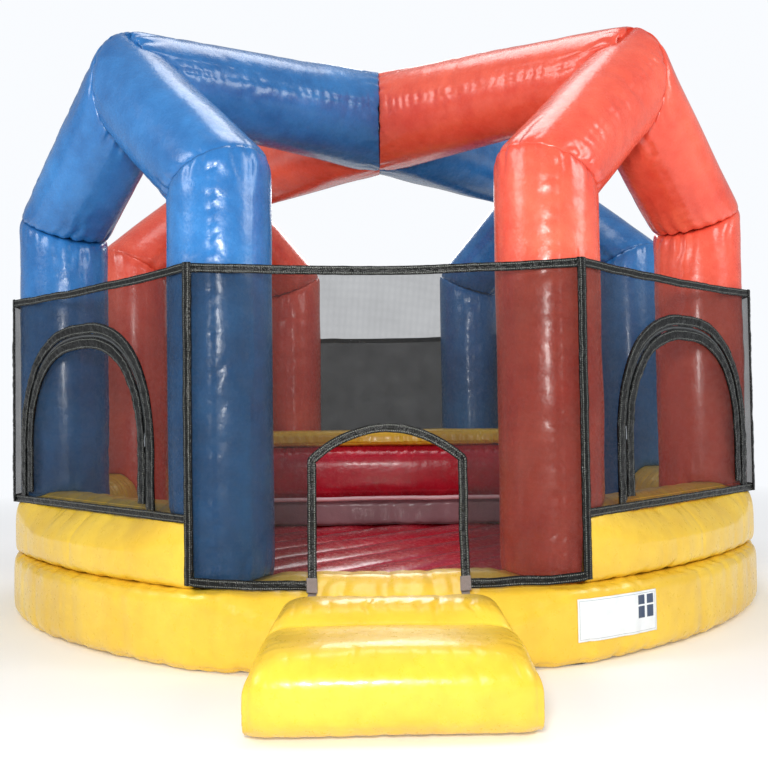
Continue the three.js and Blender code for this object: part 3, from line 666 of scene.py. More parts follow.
def ring_points(ring, u, rho, angle, seams, seed):
    """Points on a puckered ring. seams lists (u of the seam, groove depth, crease depth)."""
    x, z = ring_section(ring, u, angle)
    middle = ring["middle"]
    x, z = x * rho, middle + (z - middle) * rho
    around = ring["apothem"] * angle
    period = 2 * PI * ring["apothem"]
    dip = np.zeros_like(x)
    for place, depth, pucker in seams:
        away = around_from(u, place) * 0.25
        dip = dip + groove(away, depth, 0.022)
        dip = dip + creases(around, away, 0.105, pucker, 0.11, seed + place, period)
        dip = dip + creases(around, away, 0.23, pucker * 1.3, 0.2, seed + place + 9.0, period)
    # Cross seams between the panels of vinyl, a little off each corner.
    to_seam = from_nearest(around, 2 * PI * ring["apothem"] / 16)
    dip = dip + groove(to_seam, 0.006, 0.012) * np.clip(np.sin(u) + 1.0, 0, 1)
    slack = 0.005 * noise(around / 0.45, u / 0.8, seed + 21.0, round(period / 0.45))
    shrink = (dip - slack) * rho
    normal_x, normal_z = np.cos(u), np.sin(u)
    x = x - shrink * normal_x
    z = np.clip(z - shrink * normal_z, ring["low"], None)
    radius = plan_radius(angle, ring["apothem"], ring["share"]) + x
    points = np.stack([radius * np.sin(angle), -radius * np.cos(angle), z], axis=-1)
    coords = np.stack([around, u * 0.25], axis=-1)
    return points, coords


def ring_steps(ring, even, regular):
    """Angles round the tube: even steps along the flattened section, and regular ones between them."""
    u = np.linspace(-PI, PI, 20001)
    x, z = ring_section(ring, u, np.full_like(u, EIGHTH))
    run = np.concatenate([[0], np.cumsum(np.hypot(np.diff(x), np.diff(z)))])
    spread = np.interp(np.linspace(0, run[-1], even, endpoint=False), run, u)
    between = np.linspace(-PI, PI, regular, endpoint=False) + 0.013
    return np.unique(np.round(np.concatenate([spread, between]), 3))


def lower_ring():
    around = ring_steps(LOWER, 88, 56)
    along = np.linspace(-PI, PI, 901)

    def place(u, rho, t):
        return ring_points(LOWER, u, rho, t, LOWER_SEAMS, 1.0)

    loft("lower_ring_skin", around, along, place, yellow_vinyl, "yellow_vinyl", "lower_ring", closed=True)


def upper_ring():
    """Open at the front: each end is let into a front column."""
    around = ring_steps(UPPER, 84, 50)
    along = spaced(901, 0.35)
    start = FRONT_EDGE + 0.008

    def place(u, rho, t):
        angle = start + (2 * PI - 2 * start) * t
        wrapped = np.mod(angle + PI, 2 * PI) - PI
        return ring_points(UPPER, u, rho, wrapped, UPPER_SEAMS, 2.0)

    loft("upper_ring_skin", around, along, place, yellow_vinyl, "yellow_vinyl", "upper_ring")


def ground_sheet():
    """Tarpaulin under the base: a thin closed disc with a slightly wavy hem."""
    skin = Skin()
    angle = np.linspace(0, 2 * PI, 320, endpoint=False)
    rows, heights = [], []
    radii = [0.02, 0.3, 0.6, 0.9, 0.97, 0.985, 1.0]
    layers = [(r, 0.0) for r in radii] + [(r, SHEET_TOP) for r in radii[::-1]]
    for share, z in layers:
        edge = plan_radius(angle, 2.600, LOWER["share"]) + 0.006 * noise(angle * 9, angle * 0, 31.0)
        radius = edge * share
        height = np.full_like(angle, z)
        rows.append(np.stack([radius * np.sin(angle), -radius * np.cos(angle), height], axis=-1))
        heights.append(z)
    points = np.stack(rows)
    index = skin.grid(points, points[..., :2], wrap=True)
    skin.cap_ends(index, (0, 0, 0), (0, 0, SHEET_TOP))
    piece = skin.piece("ground_sheet_skin", ground_material(), "structure", "ground_cloth", ("ground_sheet",))


# ---------------------------------------------------------------- mattress
def mattress():
    """Parallel air cells that run diagonally, with creases across each seam between them."""
    pitch, crest, valley, bottom = 0.400, 0.270, 0.222, 0.006
    half, rows = 2.15, 259
    skin = Skin()
    v = np.linspace(-half, half, rows)
    u_share = np.linspace(-1, 1, 229)
    limit = np.zeros(rows)
    diagonal = np.array([[math.cos(EIGHTH), -math.sin(EIGHTH)], [math.sin(EIGHTH), math.cos(EIGHTH)]])
    for i, level in enumerate(v):
        test = np.linspace(0, 2.4, 1201)
        turned = diagonal @ np.stack([test, np.full_like(test, level)])
        angle = np.arctan2(*(turned * np.array([[1], [-1]])))
        inside = np.hypot(test, level) <= plan_radius(angle, 2.171, 0.66)
        limit[i] = test[inside].max() if inside.any() else 0.05
    vv, ss = np.meshgrid(v, u_share, indexing="ij")
    uu = ss * limit[:, None]
    cell = np.sin(PI * np.mod((vv + 6 * pitch) / pitch, 1.0))
    seam = from_nearest(vv, pitch)
    height = valley + (crest - valley) * np.sqrt(np.clip(cell, 0, 1))
    number = np.round(vv / pitch)
    height = height - creases(uu + number * 3.3, seam, 0.16, 0.003, 0.06, 41.0)
    height = height - creases(uu + number * 7.1, seam, 0.45, 0.005, 0.16, 47.0)
    height = height + 0.004 * noise(uu / 0.5, vv / 0.35, 43.0)
    rim = np.minimum((limit[:, None] - np.abs(uu)) / 0.06, (half - np.abs(vv)) / 0.06)
    height = height - 0.05 * np.exp(-np.clip(rim, 0, None) * 1.5)
    top = np.stack([uu, vv, height], axis=-1)
    under = top.copy()
    under[..., 2] = bottom
    coords = np.stack([uu, vv], axis=-1)
    a = skin.grid(turn(top, EIGHTH), coords)
    b = skin.grid(turn(under, EIGHTH)[:, ::-1], coords)[:, ::-1]
    skin.join_rims(a, b)
    piece = skin.piece("floor_mattress_skin", red_vinyl, "structure", "red_vinyl", ("floor_mattress",))


# ---------------------------------------------------------------- back bolster
BOLSTER_BACK = 1.950
BOLSTERS = {
    "base": {
        "looks": (mauve_vinyl, "mauve_vinyl"),
        "front": 1.600, "halves": (1.36, 1.05), "heights": (0.262, 0.517),
        "power": 0.35, "seed": 61.0, "fill": 0.8, "swells": False,
        "seams": [(0.75 * PI, 0.006, 0.012, 0.16), (1.25 * PI, 0.006, 0.012, 0.19)],
    },
    "body": {
        "looks": (red_vinyl, "red_vinyl"),
        "front": 1.560, "halves": (1.39, 1.06), "heights": (0.512, 1.056),
        "power": 0.70, "seed": 64.0, "fill": 1.0, "swells": True,
        "seams": [(0.68 * PI, 0.006, 0.014, 0.10), (1.30 * PI, 0.006, 0.010, 0.15)],
    },
    "cap": {
        "looks": (yellow_vinyl, "yellow_vinyl"),
        "front": 1.585, "halves": (1.37, 1.055), "heights": (1.046, 1.210),
        "power": 0.6, "seed": 67.0, "fill": 0.9, "swells": True,
        "seams": [(0.85 * PI, 0.004, 0.012, 0.10), (1.15 * PI, 0.008, 0.016, 0.09)],
    },
}


def bolster(label, looks, front, halves, heights, power, seed, fill, swells, seams):
    """A pillow across the back: halves are its half lengths at its front and at its back.

    seams lists (angle round the pillow, groove depth, crease depth, crease spacing).
    """
    front_half, back_half = halves
    low, high = heights
    back = BOLSTER_BACK
    middle_y, half_y = (front + back) / 2, (back - front) / 2
    middle_z, half_z = (low + high) / 2, (high - low) / 2
    around = np.linspace(0, 2 * PI, 84, endpoint=False)
    along = spaced(201, 0.5)

    def place(u, rho, t):
        across, up = np.cos(u), np.sin(u)
        round_end = (1 - np.abs(2 * t - 1) ** 16) ** (1 / 5.0)
        round_end = np.where((t <= 0) | (t >= 1), 0.35, np.maximum(round_end, 0.35))
        y = half_y * np.sign(across) * np.abs(across) ** power
        z = half_z * np.sign(up) * np.abs(up) ** power
        depth_share = (y * rho + half_y) / (2 * half_y)
        half_x = front_half + (back_half - front_half) * depth_share
        x = (2 * t - 1) * half_x
        dip = np.zeros_like(x)
        for angle, depth, pucker, spacing in seams:
            away = around_from(u, angle) * (half_y + half_z) / 2
            dip = dip + groove(away, depth, 0.02) + creases(x + 5, away, spacing, pucker, 0.10, seed + angle)
        dip = dip + 0.006 * noise(x / 0.3, u / 0.7, seed + 3)
        squeeze = 1 - dip / np.hypot(half_y, half_z) * 1.4
        y, z = y * rho * round_end * squeeze, z * rho * round_end * squeeze
        points = np.stack([x, middle_y + y, middle_z + z], axis=-1)
        return points, np.stack([x, u * (half_y + half_z) / 2], axis=-1)

    piece = loft(f"bolster_{label}_skin", around, along, place, *looks, f"bolster_{label}", fill=fill)

    def freedom(_, y, z):
        level = smooth_step(z, low + 0.02, low + 0.07) * (1 - smooth_step(z, high - 0.05, high))
        return level * (1 - smooth_step(y, middle_y, back))

    if swells:
        inflate(piece, freedom)


def piping():
    """The round cord cover between the bolster's base and body."""
    around = np.linspace(0, 2 * PI, 20, endpoint=False)
    along = np.linspace(0, 1, 161)

    def place(u, rho, t):
        x = (2 * t - 1) * 1.34
        sag = 0.004 * noise(x / 0.25, x * 0, 71.0)
        radius = 0.020 * rho * (1 + 0.06 * noise(x / 0.02, u, 72.0))
        points = np.stack([x, 1.563 + radius * np.cos(u), 0.536 + sag + radius * np.sin(u)], axis=-1)
        return points, np.stack([x, u * 0.02], axis=-1)

    loft("bolster_piping_skin", around, along, place, pink_vinyl, "pink_piping", "bolster_piping", fill=1.0)


# ---------------------------------------------------------------- columns, struts and roof beams
KINK_HEIGHT, APEX_HEIGHT = 2.733, 3.500
CHORD_HALF = COLUMN_CIRCLE * math.sin(EIGHTH / 2)
CHORD_DISTANCE = COLUMN_CIRCLE * math.cos(EIGHTH / 2)
SLOPE = math.atan2(APEX_HEIGHT - KINK_HEIGHT, CHORD_HALF)
BEAM_HEIGHTS = (3.600, 3.765)
BEAM_RADII = (0.265, 0.385)
FRAMES = [
    ("front_right", 1, ("front_right", "right_front"), orange_vinyl, "orange_vinyl"),
    ("back_right", 3, ("right_back", "back_right"), blue_vinyl, "blue_vinyl"),
    ("back_left", 5, ("back_left", "left_back"), orange_vinyl, "orange_vinyl"),
    ("front_left", 7, ("left_front", "front_left"), blue_vinyl, "blue_vinyl"),
]


def mitre_normal(side):
    """Normal of the plane in which a column and its strut meet."""
    along = np.array([-side * math.cos(SLOPE), 0.0, math.sin(SLOPE)]) + np.array([0.0, 0.0, 1.0])
    return along / np.linalg.norm(along)


def plane_reach(origin, axis, offset, point, normal):
    """Distance along the axis at which a line, offset from it, meets a plane."""
    normal = np.array(normal)
    return ((np.array(point) - np.array(origin) - offset) @ normal) / (np.array(axis) @ normal)


def tube_dips(arc, u, run, start, end, seams, seed, radius, inner, pinch):
    """How far a tube's skin dips: pinched and creased at both ends, creased across its long seams."""
    from_start, from_end = run - start, end - run
    fold = 1.0 + 1.6 * np.clip(np.cos(u - inner), 0, 1) ** 2
    dip = groove(from_start, 0.016, 0.028) + groove(from_end, pinch, 0.028)
    dip = dip + creases(arc, from_start, 0.095, 0.015 * fold, 0.13, seed)
    dip = dip + creases(arc, from_end, 0.095, 0.015 * fold, 0.13, seed + 11.0)
    for angle in seams:
        away = around_from(u, angle) * radius
        dip = dip + groove(away, 0.004, 0.010)
        dip = dip + creases(run + angle, away, 0.075, 0.012, 0.045, seed + angle + 4.0)
        dip = dip + creases(run + angle, away, 0.21, 0.010, 0.13, seed + angle + 7.0)
    return dip - 0.005 * noise(run / 0.35, u / 0.9, seed + 15.0)


def tube(node, origin, axis, side_vector, radii, start_of, end_of, seams, inner, spin, looks, seed, pitch,
         pinch=0.016):
    """A round air tube between two end surfaces, each given as distances along the axis."""
    origin, axis = np.array(origin, float), np.array(axis, float)
    side_vector = np.array(side_vector, float)
    other = np.cross(axis, side_vector)
    mean = (radii[0] + radii[1]) / 2
    around = np.linspace(0, 2 * PI, int(2 * PI * mean / pitch), endpoint=False)
    sample = end_of(np.zeros(3)) - start_of(np.zeros(3))
    along = spaced(int(float(sample) / (pitch * 1.15)), 0.25)

    def place(u, rho, t):
        offset = np.cos(u)[..., None] * side_vector + np.sin(u)[..., None] * other
        start = start_of(offset * (rho * radii[0])[..., None])
        end = end_of(offset * (rho * radii[1])[..., None])
        run = start + (end - start) * t
        radius = radii[0] + (radii[1] - radii[0]) * t
        dip = tube_dips(u * radius, u, run, start, end, seams, seed, mean, inner, pinch) * rho
        points = origin + run[..., None] * axis + offset * (rho * radius - dip)[..., None]
        return turn(points, spin), np.stack([u * radius, run], axis=-1)

    material, slot = looks
    loft(f"{node}_skin", around, along, place, material, slot, node, fill=1.0)


def a_frame(name, eighths, places, material, slot):
    """Two columns and the two struts that lean together above them, with their roof beam."""
    spin = eighths * EIGHTH
    for side, label in zip((-1, 1), places):
        at_front = label in ("front_left", "front_right")
        pitch = 0.0135 if at_front else 0.021
        normal = mitre_normal(side)
        kink = np.array([side * CHORD_HALF, -CHORD_DISTANCE, KINK_HEIGHT])
        apex = np.array([0.0, -CHORD_DISTANCE, APEX_HEIGHT])
        foot = np.array([side * CHORD_HALF, -CHORD_DISTANCE, 0.0])

        def column_start(offset, foot=foot, at_front=at_front):
            place = turn(foot + offset, spin)
            angle = np.arctan2(place[..., 0], -place[..., 1])
            radius = np.hypot(place[..., 0], place[..., 1])
            start = np.full(np.shape(angle), 0.272)
            for ring in (LOWER, UPPER):
                x = radius - plan_radius(angle, ring["apothem"], ring["share"])
                crown = ring_crown(ring, x, angle)
                if at_front and ring is UPPER:
                    in_front = np.abs(angle) < FRONT_EDGE
                    crown = np.where(in_front, np.where(x > 0, FRONT_BOTTOM - 0.004, 0), crown)
                start = np.maximum(start, crown)
            return start + 0.001

        def column_end(offset, foot=foot, kink=kink, normal=normal):
            return plane_reach(foot, (0, 0, 1), offset, kink - normal * 0.002, normal)

        facing = -PI / 2 + side * EIGHTH
        seams = (facing, facing + PI)
        inward = PI if side > 0 else 0.0
        tube(f"column_{label}", foot, (0, 0, 1), (1, 0, 0), (COLUMN_RADIUS, COLUMN_RADIUS), column_start,
             column_end, seams, inward, spin, (material, slot), 100.0 + eighths * 7 + side, pitch)

        run = np.array([-side * math.cos(SLOPE), 0.0, math.sin(SLOPE)])

        def strut_start(offset, kink=kink, run=run, normal=normal):
            return plane_reach(kink, run, offset, kink + normal * 0.002, normal)

        def strut_end(offset, kink=kink, run=run, apex=apex, side=side):
            return plane_reach(kink, run, offset, apex + np.array([side * 0.002, 0, 0]), (1, 0, 0))

        up = np.cross(run, (0, 1, 0))
        up = up if up[2] > 0 else -up
        across = np.cross(run, up)
        outward = 0.0 if across[1] < 0 else PI
        tilt = PI / 2 if np.cross(run, across)[2] > 0 else -PI / 2
        seams = (outward + 0.25 * (tilt - outward), outward + PI)
        tube(f"strut_{label}", kink, run, across, (COLUMN_RADIUS, COLUMN_RADIUS), strut_start,
             strut_end, seams, -tilt, spin, (material, slot), 140.0 + eighths * 7 + side, pitch)
    beam(name, eighths, material, slot)


def beam(name, eighths, material, slot):
    """A widening tube from between the struts to the middle of the roof."""
    outer = CHORD_DISTANCE + 0.06
    origin = np.array([0.0, -outer, BEAM_HEIGHTS[0]])
    axis = np.array([0.0, outer, BEAM_HEIGHTS[1] - BEAM_HEIGHTS[0]])
    axis = axis / np.linalg.norm(axis)

    def outside_struts(point):
        side = np.where(point[..., 0] < 0, -1.0, 1.0)
        run_x, run_z = -side * math.cos(SLOPE), math.sin(SLOPE)
        dx, dz = point[..., 0], point[..., 2] - APEX_HEIGHT
        off_line = dx * run_z - dz * run_x
        return np.hypot(off_line, point[..., 1] + CHORD_DISTANCE) - COLUMN_RADIUS - 0.002

    def start(offset):
        low, high = np.zeros(offset.shape[:-1]), np.full(offset.shape[:-1], 0.7)
        for _ in range(22):
            half = (low + high) / 2
            out = outside_struts(origin + offset + half[..., None] * axis) > 0
            low, high = np.where(out, low, half), np.where(out, half, high)
        return high

    def end(offset):
        across = np.abs(offset[..., 0])
        return (outer - 0.0006 - across - offset[..., 1]) / axis[1]

    seams = (0.0, PI, -PI / 2)
    tube(f"beam_{name}", origin, axis, (1, 0, 0), BEAM_RADII, start, end, seams, -PI / 2,
         eighths * EIGHTH, (material, slot), 180.0 + eighths, 0.017, 0.002)


# ---------------------------------------------------------------- flat cloth: bands, straps and panels
NET_PLANE = 2.588
NET_HALF = 1.068
NET_TOP, NET_BOTTOM, FRONT_BOTTOM = 2.210, 0.800, 0.470
BAND = 0.050
CORNER_HALF = 2.5949 * math.tan(EIGHTH / 2)
ENTRANCE_HALF, ENTRANCE_SPRING, ENTRANCE_RISE = 0.432, 1.148, 0.178
DOOR_SHIFT, DOOR_HALF, DOOR_SPRING, DOOR_RISE, DOOR_FOOT = 0.100, 0.845, 1.150, 0.830, 0.858
DOOR_BAND = 0.072
PANELS = ["front", "front_right", "right", "back_right", "back", "back_left", "left", "front_left"]


def panel_point(index, x, z, out):
    """A point on a net panel, out metres in front of its plane, hanging as the slack cloth does."""
    bulge = 1 - np.clip(np.abs(x) / NET_HALF, 0, 1) ** 2
    if index == 0:
        low = 1 - smooth_step(z, FRONT_BOTTOM, 0.80)
        z = z - 0.032 * bulge * smooth_step(z, 1.5, NET_TOP) - 0.030 * bulge ** 0.5 * low
        out = out + 0.040 * bulge ** 0.5 * low ** 2
    else:
        z = z - 0.016 * bulge * smooth_step(z, 1.6, NET_TOP)
    return turn(np.stack([x, -(NET_PLANE + out), z], axis=-1), index * EIGHTH)


def closed_strip(skin, path, half_width, thick, place, seed, wobble=0.003, crumple=0.0022, loop=False):
    """A band of cloth along a flat path of (across, up) points. place(x, z, out) puts it in space."""
    path = resampled(np.array(path, float), 0.012, loop)
    if loop:
        ahead, behind = np.roll(path, -1, axis=0), np.roll(path, 1, axis=0)
    else:
        ahead = np.concatenate([path[1:], path[-1:]])
        behind = np.concatenate([path[:1], path[:-1]])
    along = units(ahead - behind)
    normal = np.stack([-along[:, 1], along[:, 0]], axis=1)
    run = run_along(path)
    across = np.array([-1, -0.97, -0.8, -0.6, -0.35, -0.1, 0.15, 0.4, 0.62, 0.82, 0.97, 1, 1, 0, -1])
    height = np.array([0.3, 0.85, 1, 1, 1, 1, 1, 1, 1, 1, 0.85, 0.3, 0, 0, 0.0]) * thick
    h = np.tile(height, (len(path), 1))
    s = np.tile(across, (len(path), 1))
    long = np.repeat(run[:, None], len(across), axis=1)
    sway = wobble * noise(long / 0.16, s * 0, seed)
    edge = 1 + 0.05 * noise(long / 0.05, s * 0.5, seed + 1)
    off = s * half_width * edge + sway
    face = np.where(h > 0, 1, 0)
    lift = h + face * np.abs(crumple * noise(long / 0.028, s * half_width / 0.02, seed + 2) * 1.6)
    lift = lift + face * crumple * (1 + noise(long / 0.09, s * 0.7, seed + 4))
    x = path[:, 0:1] + normal[:, 0:1] * off
    z = path[:, 1:2] + normal[:, 1:2] * off
    points = place(x, z, lift)
    coords = np.stack([long, s * half_width], axis=-1)
    index = skin.grid(points, coords, wrap=True)
    if loop:
        skin.join_ends(index)
    else:
        skin.cap_ends(index, points[0].mean(axis=0), points[-1].mean(axis=0))


def resampled(path, step, loop=False):
    """The same line with points a step apart."""
    if loop:
        path = np.concatenate([path, path[:1]])
    run = run_along(path)
    count = max(2, int(run[-1] / step) + 1)
    wanted = np.linspace(0, run[-1], count)
    made = np.stack([np.interp(wanted, run, path[:, k]) for k in range(path.shape[1])], axis=1)
    return made[:-1] if loop else made


def slab(skin, front, back, coords):
    """A thin closed piece between two grids of points."""
    a = skin.grid(front, coords)
    b = skin.grid(back, coords)
    skin.faces[-1] = skin.faces[-1][:, ::-1]
    skin.join_rims(a, b)


def arch_points(half, foot, spring, rise, powers, steps=40):
    """Outline of an arch: two upright sides from the foot to the spring line and a crown of that rise."""
    angle = PI - PI * np.arange(steps + 1) / steps
    across = np.sign(np.cos(angle)) * np.abs(np.cos(angle)) ** (2 / powers[0])
    up = np.sin(angle).clip(0) ** (2 / powers[1])
    points = np.stack([half * across, spring + rise * up], axis=1)
    return np.concatenate([[[-half, foot]], points, [[half, foot]]])


def entrance_arch(inset, foot):
    spring = ENTRANCE_SPRING - inset * 0.6
    return arch_points(ENTRANCE_HALF - inset, foot, spring, ENTRANCE_RISE - inset * 0.25, (2, 1))


def door_arch(inset, foot, side):
    points = arch_points(DOOR_HALF - inset, foot, DOOR_SPRING, DOOR_RISE - inset, (2.4, 2.4))
    return points + np.array([side * DOOR_SHIFT, 0.0])


def inside_outline(x, z, outline):
    """Whether each point lies in a closed outline, by counting crossings."""
    result = np.zeros(x.shape, bool)
    count = len(outline)
    for i in range(count):
        x0, z0 = outline[i]
        x1, z1 = outline[(i + 1) % count]
        if z0 == z1:
            continue
        crosses = (z0 > z) != (z1 > z)
        at = (x1 - x0) * (z - z0) / (z1 - z0) + x0
        result ^= crosses & (x < at)
    return result


def net_sheet(name, index, x_range, z_range, keep, material, body, node, seed, folds=()):
    """One panel of netting: a single layer of cloth. Its cut edges lie under the bindings."""
    pitch = 0.02
    xs = np.linspace(*x_range, int((x_range[1] - x_range[0]) / pitch) + 1)
    zs = np.linspace(*z_range, int((z_range[1] - z_range[0]) / pitch) + 1)
    x, z = np.meshgrid(xs, zs)
    out = 0.003 + 0.003 * noise(x / 0.5, z / 0.4, seed) + 0.001 * noise(x / 0.12, z / 0.3, seed + 1)
    for (x0, z0), (x1, z1), height, width in folds:
        along = np.array([x1 - x0, z1 - z0])
        length = np.linalg.norm(along)
        along = along / length
        run = (x - x0) * along[0] + (z - z0) * along[1]
        off = (x - x0) * -along[1] + (z - z0) * along[0] + 0.02 * noise(run / 0.2, run * 0, seed + x0)
        fade = np.clip(np.sin(PI * np.clip(run / length, 0, 1)), 0, 1) ** 0.7
        out = out + height * fade * np.exp(-((off / width) ** 2))
    # The cloth lies flat where it goes under its bindings.
    edge = np.minimum(np.minimum(z - z_range[0], z_range[1] - z), NET_HALF - np.abs(x))
    out = (out + 0.001) * smooth_step(edge, 0.05, 0.18) - 0.001
    points = panel_point(index, x, z, out)
    skin = Skin()
    skin.grid(points, np.stack([x, z], axis=-1))
    quads = skin.faces[0]
    middle_x = x.ravel()[quads].mean(axis=1)
    middle_z = z.ravel()[quads].mean(axis=1)
    quads = quads[keep(middle_x, middle_z)]
    used, renumbered = np.unique(quads, return_inverse=True)
    skin.faces = [renumbered.reshape(quads.shape)]
    skin.points = [skin.points[0][used]]
    skin.coords = [skin.coords[0][used]]
    piece = skin.piece(name, material, body, "dark_mesh", (node,), outward=False)


def everywhere(x, _):
    return np.ones(x.shape, bool)


def outside(outline):
    """Keeps the netting that lies outside an outline."""
    return lambda x, z: ~inside_outline(x, z, outline)


def within(outline):
    """Keeps the netting that lies inside an outline."""
    return lambda x, z: inside_outline(x, z, outline)


# Slack folds low in the front net: from, to, height and width, in (across, up) metres.
FRONT_FOLDS = [
    ((1.03, 1.75), (0.62, 0.60), 0.022, 0.030),
    ((0.98, 1.20), (0.72, 0.52), 0.016, 0.026),
    ((0.50, 0.95), (0.86, 0.50), 0.014, 0.030),
    ((-1.02, 1.15), (-0.72, 0.50), 0.014, 0.026),
    ((-0.52, 0.90), (-0.90, 0.50), 0.018, 0.030),
    ((-0.98, 2.05), (-0.60, 1.10), 0.010, 0.040),
    ((0.46, 1.60), (0.95, 2.05), 0.008, 0.050),
]


def nets():
    """Eight panels. The front one is cut out for the entrance, the two beside it for their doors."""
    for index, name in enumerate(PANELS):
        low, folds, keep, cut_out = NET_BOTTOM, (), everywhere, 0.0
        # The three back panels get the nearly shut netting, whose darkness is painted shade.
        material = back_netting_painted_shade if index in (3, 4, 5) else front_netting
        if name == "front":
            low, folds, cut_out = FRONT_BOTTOM, FRONT_FOLDS, 0.68
            keep = outside(entrance_arch(BAND * 0.5, FRONT_BOTTOM - 0.1))
        elif name in ("front_left", "front_right"):
            cut_out = 1.50
            keep = outside(door_arch(0.070, DOOR_FOOT - 0.004, -1 if name == "front_left" else 1))
        net_sheet(f"net_{name}_cloth", index, (-NET_HALF, NET_HALF), (low, NET_TOP), keep, material,
                  "structure", f"net_{name}", 300.0 + index, folds)


def net_binding():
    """Black vinyl over every edge of the panels, sewn at the corners."""
    skin = Skin()
    for index in range(len(PANELS)):
        def place(x, z, out, index=index):
            return panel_point(index, x, z, out + 0.0035)

        level = NET_TOP - BAND / 2 + 0.002
        ends = [(-CORNER_HALF, level), (CORNER_HALF, level)]
        closed_strip(skin, ends, BAND / 2, 0.004, place, 320.0 + index)
        if index:
            level = NET_BOTTOM + BAND / 2 - 0.001
            ends = [(-CORNER_HALF, level), (CORNER_HALF, level)]

            def flat(x, z, out, index=index):
                return panel_point(index, x, z, out + 0.001)

            closed_strip(skin, ends, BAND / 2, 0.002, flat, 330.0 + index, wobble=0.001, crumple=0.001)
        else:
            level = FRONT_BOTTOM + BAND / 2
            for side in (-1, 1):
                ends = [(side * (ENTRANCE_HALF - BAND), level), (side * CORNER_HALF, level)]
                closed_strip(skin, ends, BAND / 2, 0.004, place, 340.0 + side)

            def over(x, z, out):
                return panel_point(0, x, z, out + 0.0105)

            closed_strip(skin, entrance_arch(BAND / 2, FRONT_BOTTOM - 0.004), BAND / 2, 0.005, over, 343.0)
        low = FRONT_BOTTOM if index in (0, 1) else NET_BOTTOM
        corner_strip(skin, (index - 0.5) * EIGHTH, low, NET_TOP, 350.0 + index)
    skin.piece("net_binding_skin", binding_vinyl, "structure", "black_vinyl", ("net_binding",))


def corner_strip(skin, angle, low, high, seed):
    """A vertical band folded over the corner between two panels."""
    reach = 0.029
    fold = EIGHTH / 2

    def place(x, z, out):
        bend = np.sqrt(x * x + 0.006 ** 2) - 0.006
        depth = NET_PLANE / math.cos(fold) - bend * math.sin(fold) + out + 0.006
        return turn(np.stack([x * math.cos(fold), -depth, z], axis=-1), angle)

    closed_strip(skin, [(0, low), (0, high + 0.003)], reach, 0.005, place, seed, wobble=0.002)


def doors():
    """Each side door: its trim, its zip tape, and the flap of netting with its own band."""
    for side, label, index in ((-1, "left", 7), (1, "right", 1)):
        def fixed(x, z, out, index=index):
            return panel_point(index, x, z, out + 0.0035)

        trim = Skin()
        arch = door_arch(DOOR_BAND / 2, NET_BOTTOM + BAND, side)
        closed_strip(trim, arch, DOOR_BAND / 2, 0.006, fixed, 360.0 + side, crumple=0.0035)
        trim.piece(f"door_trim_{label}_skin", arch_vinyl, "structure", "black_vinyl", (f"door_trim_{label}",))
        tape = Skin()
        closed_strip(tape, door_arch(0.084, DOOR_FOOT + 0.004, side), 0.013, 0.0015, fixed, 363.0 + side,
                     wobble=0.0, crumple=0.0002)
        tape.piece(f"door_zip_{label}", zip_tape, "structure", "black_vinyl")
        keep = within(door_arch(0.104, DOOR_FOOT + 0.012, side))
        middle = side * DOOR_SHIFT
        half = DOOR_HALF - 0.094
        top = DOOR_SPRING + DOOR_RISE - 0.094
        spread = (middle - half, middle + half)
        net_sheet(f"door_net_{label}", index, spread, (DOOR_FOOT + 0.006, top), keep, front_netting,
                  f"door_{label}", f"door_flap_{label}", 366.0 + side)
        arch = door_arch(0.096 + DOOR_BAND / 2, DOOR_FOOT + 0.024, side)
        flap = Skin()
        closed_strip(flap, arch, DOOR_BAND / 2, 0.006, fixed, 370.0 + side, crumple=0.0035)
        flap.piece(f"door_band_{label}_skin", arch_vinyl, f"door_{label}", "black_vinyl",
                   (f"door_flap_band_{label}",))


def zip_material():
    """Coil zip: a row of teeth down the middle of a woven tape."""
    n = Nodes("zip_tape")
    _, u, v = n.cloth()
    teeth = n.math("MULTIPLY", n.math("LESS_THAN", n.math("ABSOLUTE", v), 0.0035), n.wave(u, 0.004))
    tint = n.mix(teeth, n.mix(n.noise(n.place(), 40.0), colour(0x101211), colour(0x24272a)), colour(0x6c7072))
    n.set(Base_Color=tint, Roughness=0.5, Normal=n.bump(teeth, 0.0015, 0.8))
    return n.material


zip_tape = zip_material()


# ---------------------------------------------------------------- straps, label and flap on the lower ring
def ring_skin_point(z, angle, lift):
    """A point lifted off the outside of the lower ring at height z."""
    z, angle, lift = np.broadcast_arrays(*(np.asarray(value, float) for value in (z, angle, lift)))
    samples = np.linspace(-1.35, 1.5, 400)
    u = np.zeros(z.shape)
    for value in np.unique(angle):
        _, heights = ring_section(LOWER, samples, np.full_like(samples, value))
        u[angle == value] = np.interp(z[angle == value], heights, samples)
    points, _ = ring_points(LOWER, u, np.ones_like(u), angle, LOWER_SEAMS, 1.0)
    away = np.stack([np.sin(angle), -np.cos(angle), np.zeros_like(angle)], axis=-1)
    return points + away * lift[..., None]


def strap(skin, path, across, width, thick, seed):
    """A woven strap along a line of points, its width along the across direction."""
    path = resampled(np.array(path, float), 0.006)
    across = np.array(across, float) / np.linalg.norm(across)
    along = units(np.gradient(path, axis=0))
    normal = units(np.cross(along, across))
    run = run_along(path)
    s = np.array([-1, -0.9, -0.45, 0, 0.45, 0.9, 1, 0.9, 0, -0.9])
    h = np.array([0, 1, 1.15, 1.2, 1.15, 1, 0, -1, -1, -1]) * thick / 2
    ripple = 0.0008 * noise(run / 0.03, run * 0, seed)
    points = (path[:, None, :] + across[None, None, :] * (s * width / 2)[None, :, None]
              + normal[:, None, :] * (h[None, :, None] + ripple[:, None, None]))
    coords = np.stack(np.broadcast_arrays(run[:, None], (s * width / 2)[None, :]), axis=-1)
    index = skin.grid(points, coords, wrap=True)
    skin.cap_ends(index, points[0].mean(axis=0), points[-1].mean(axis=0))


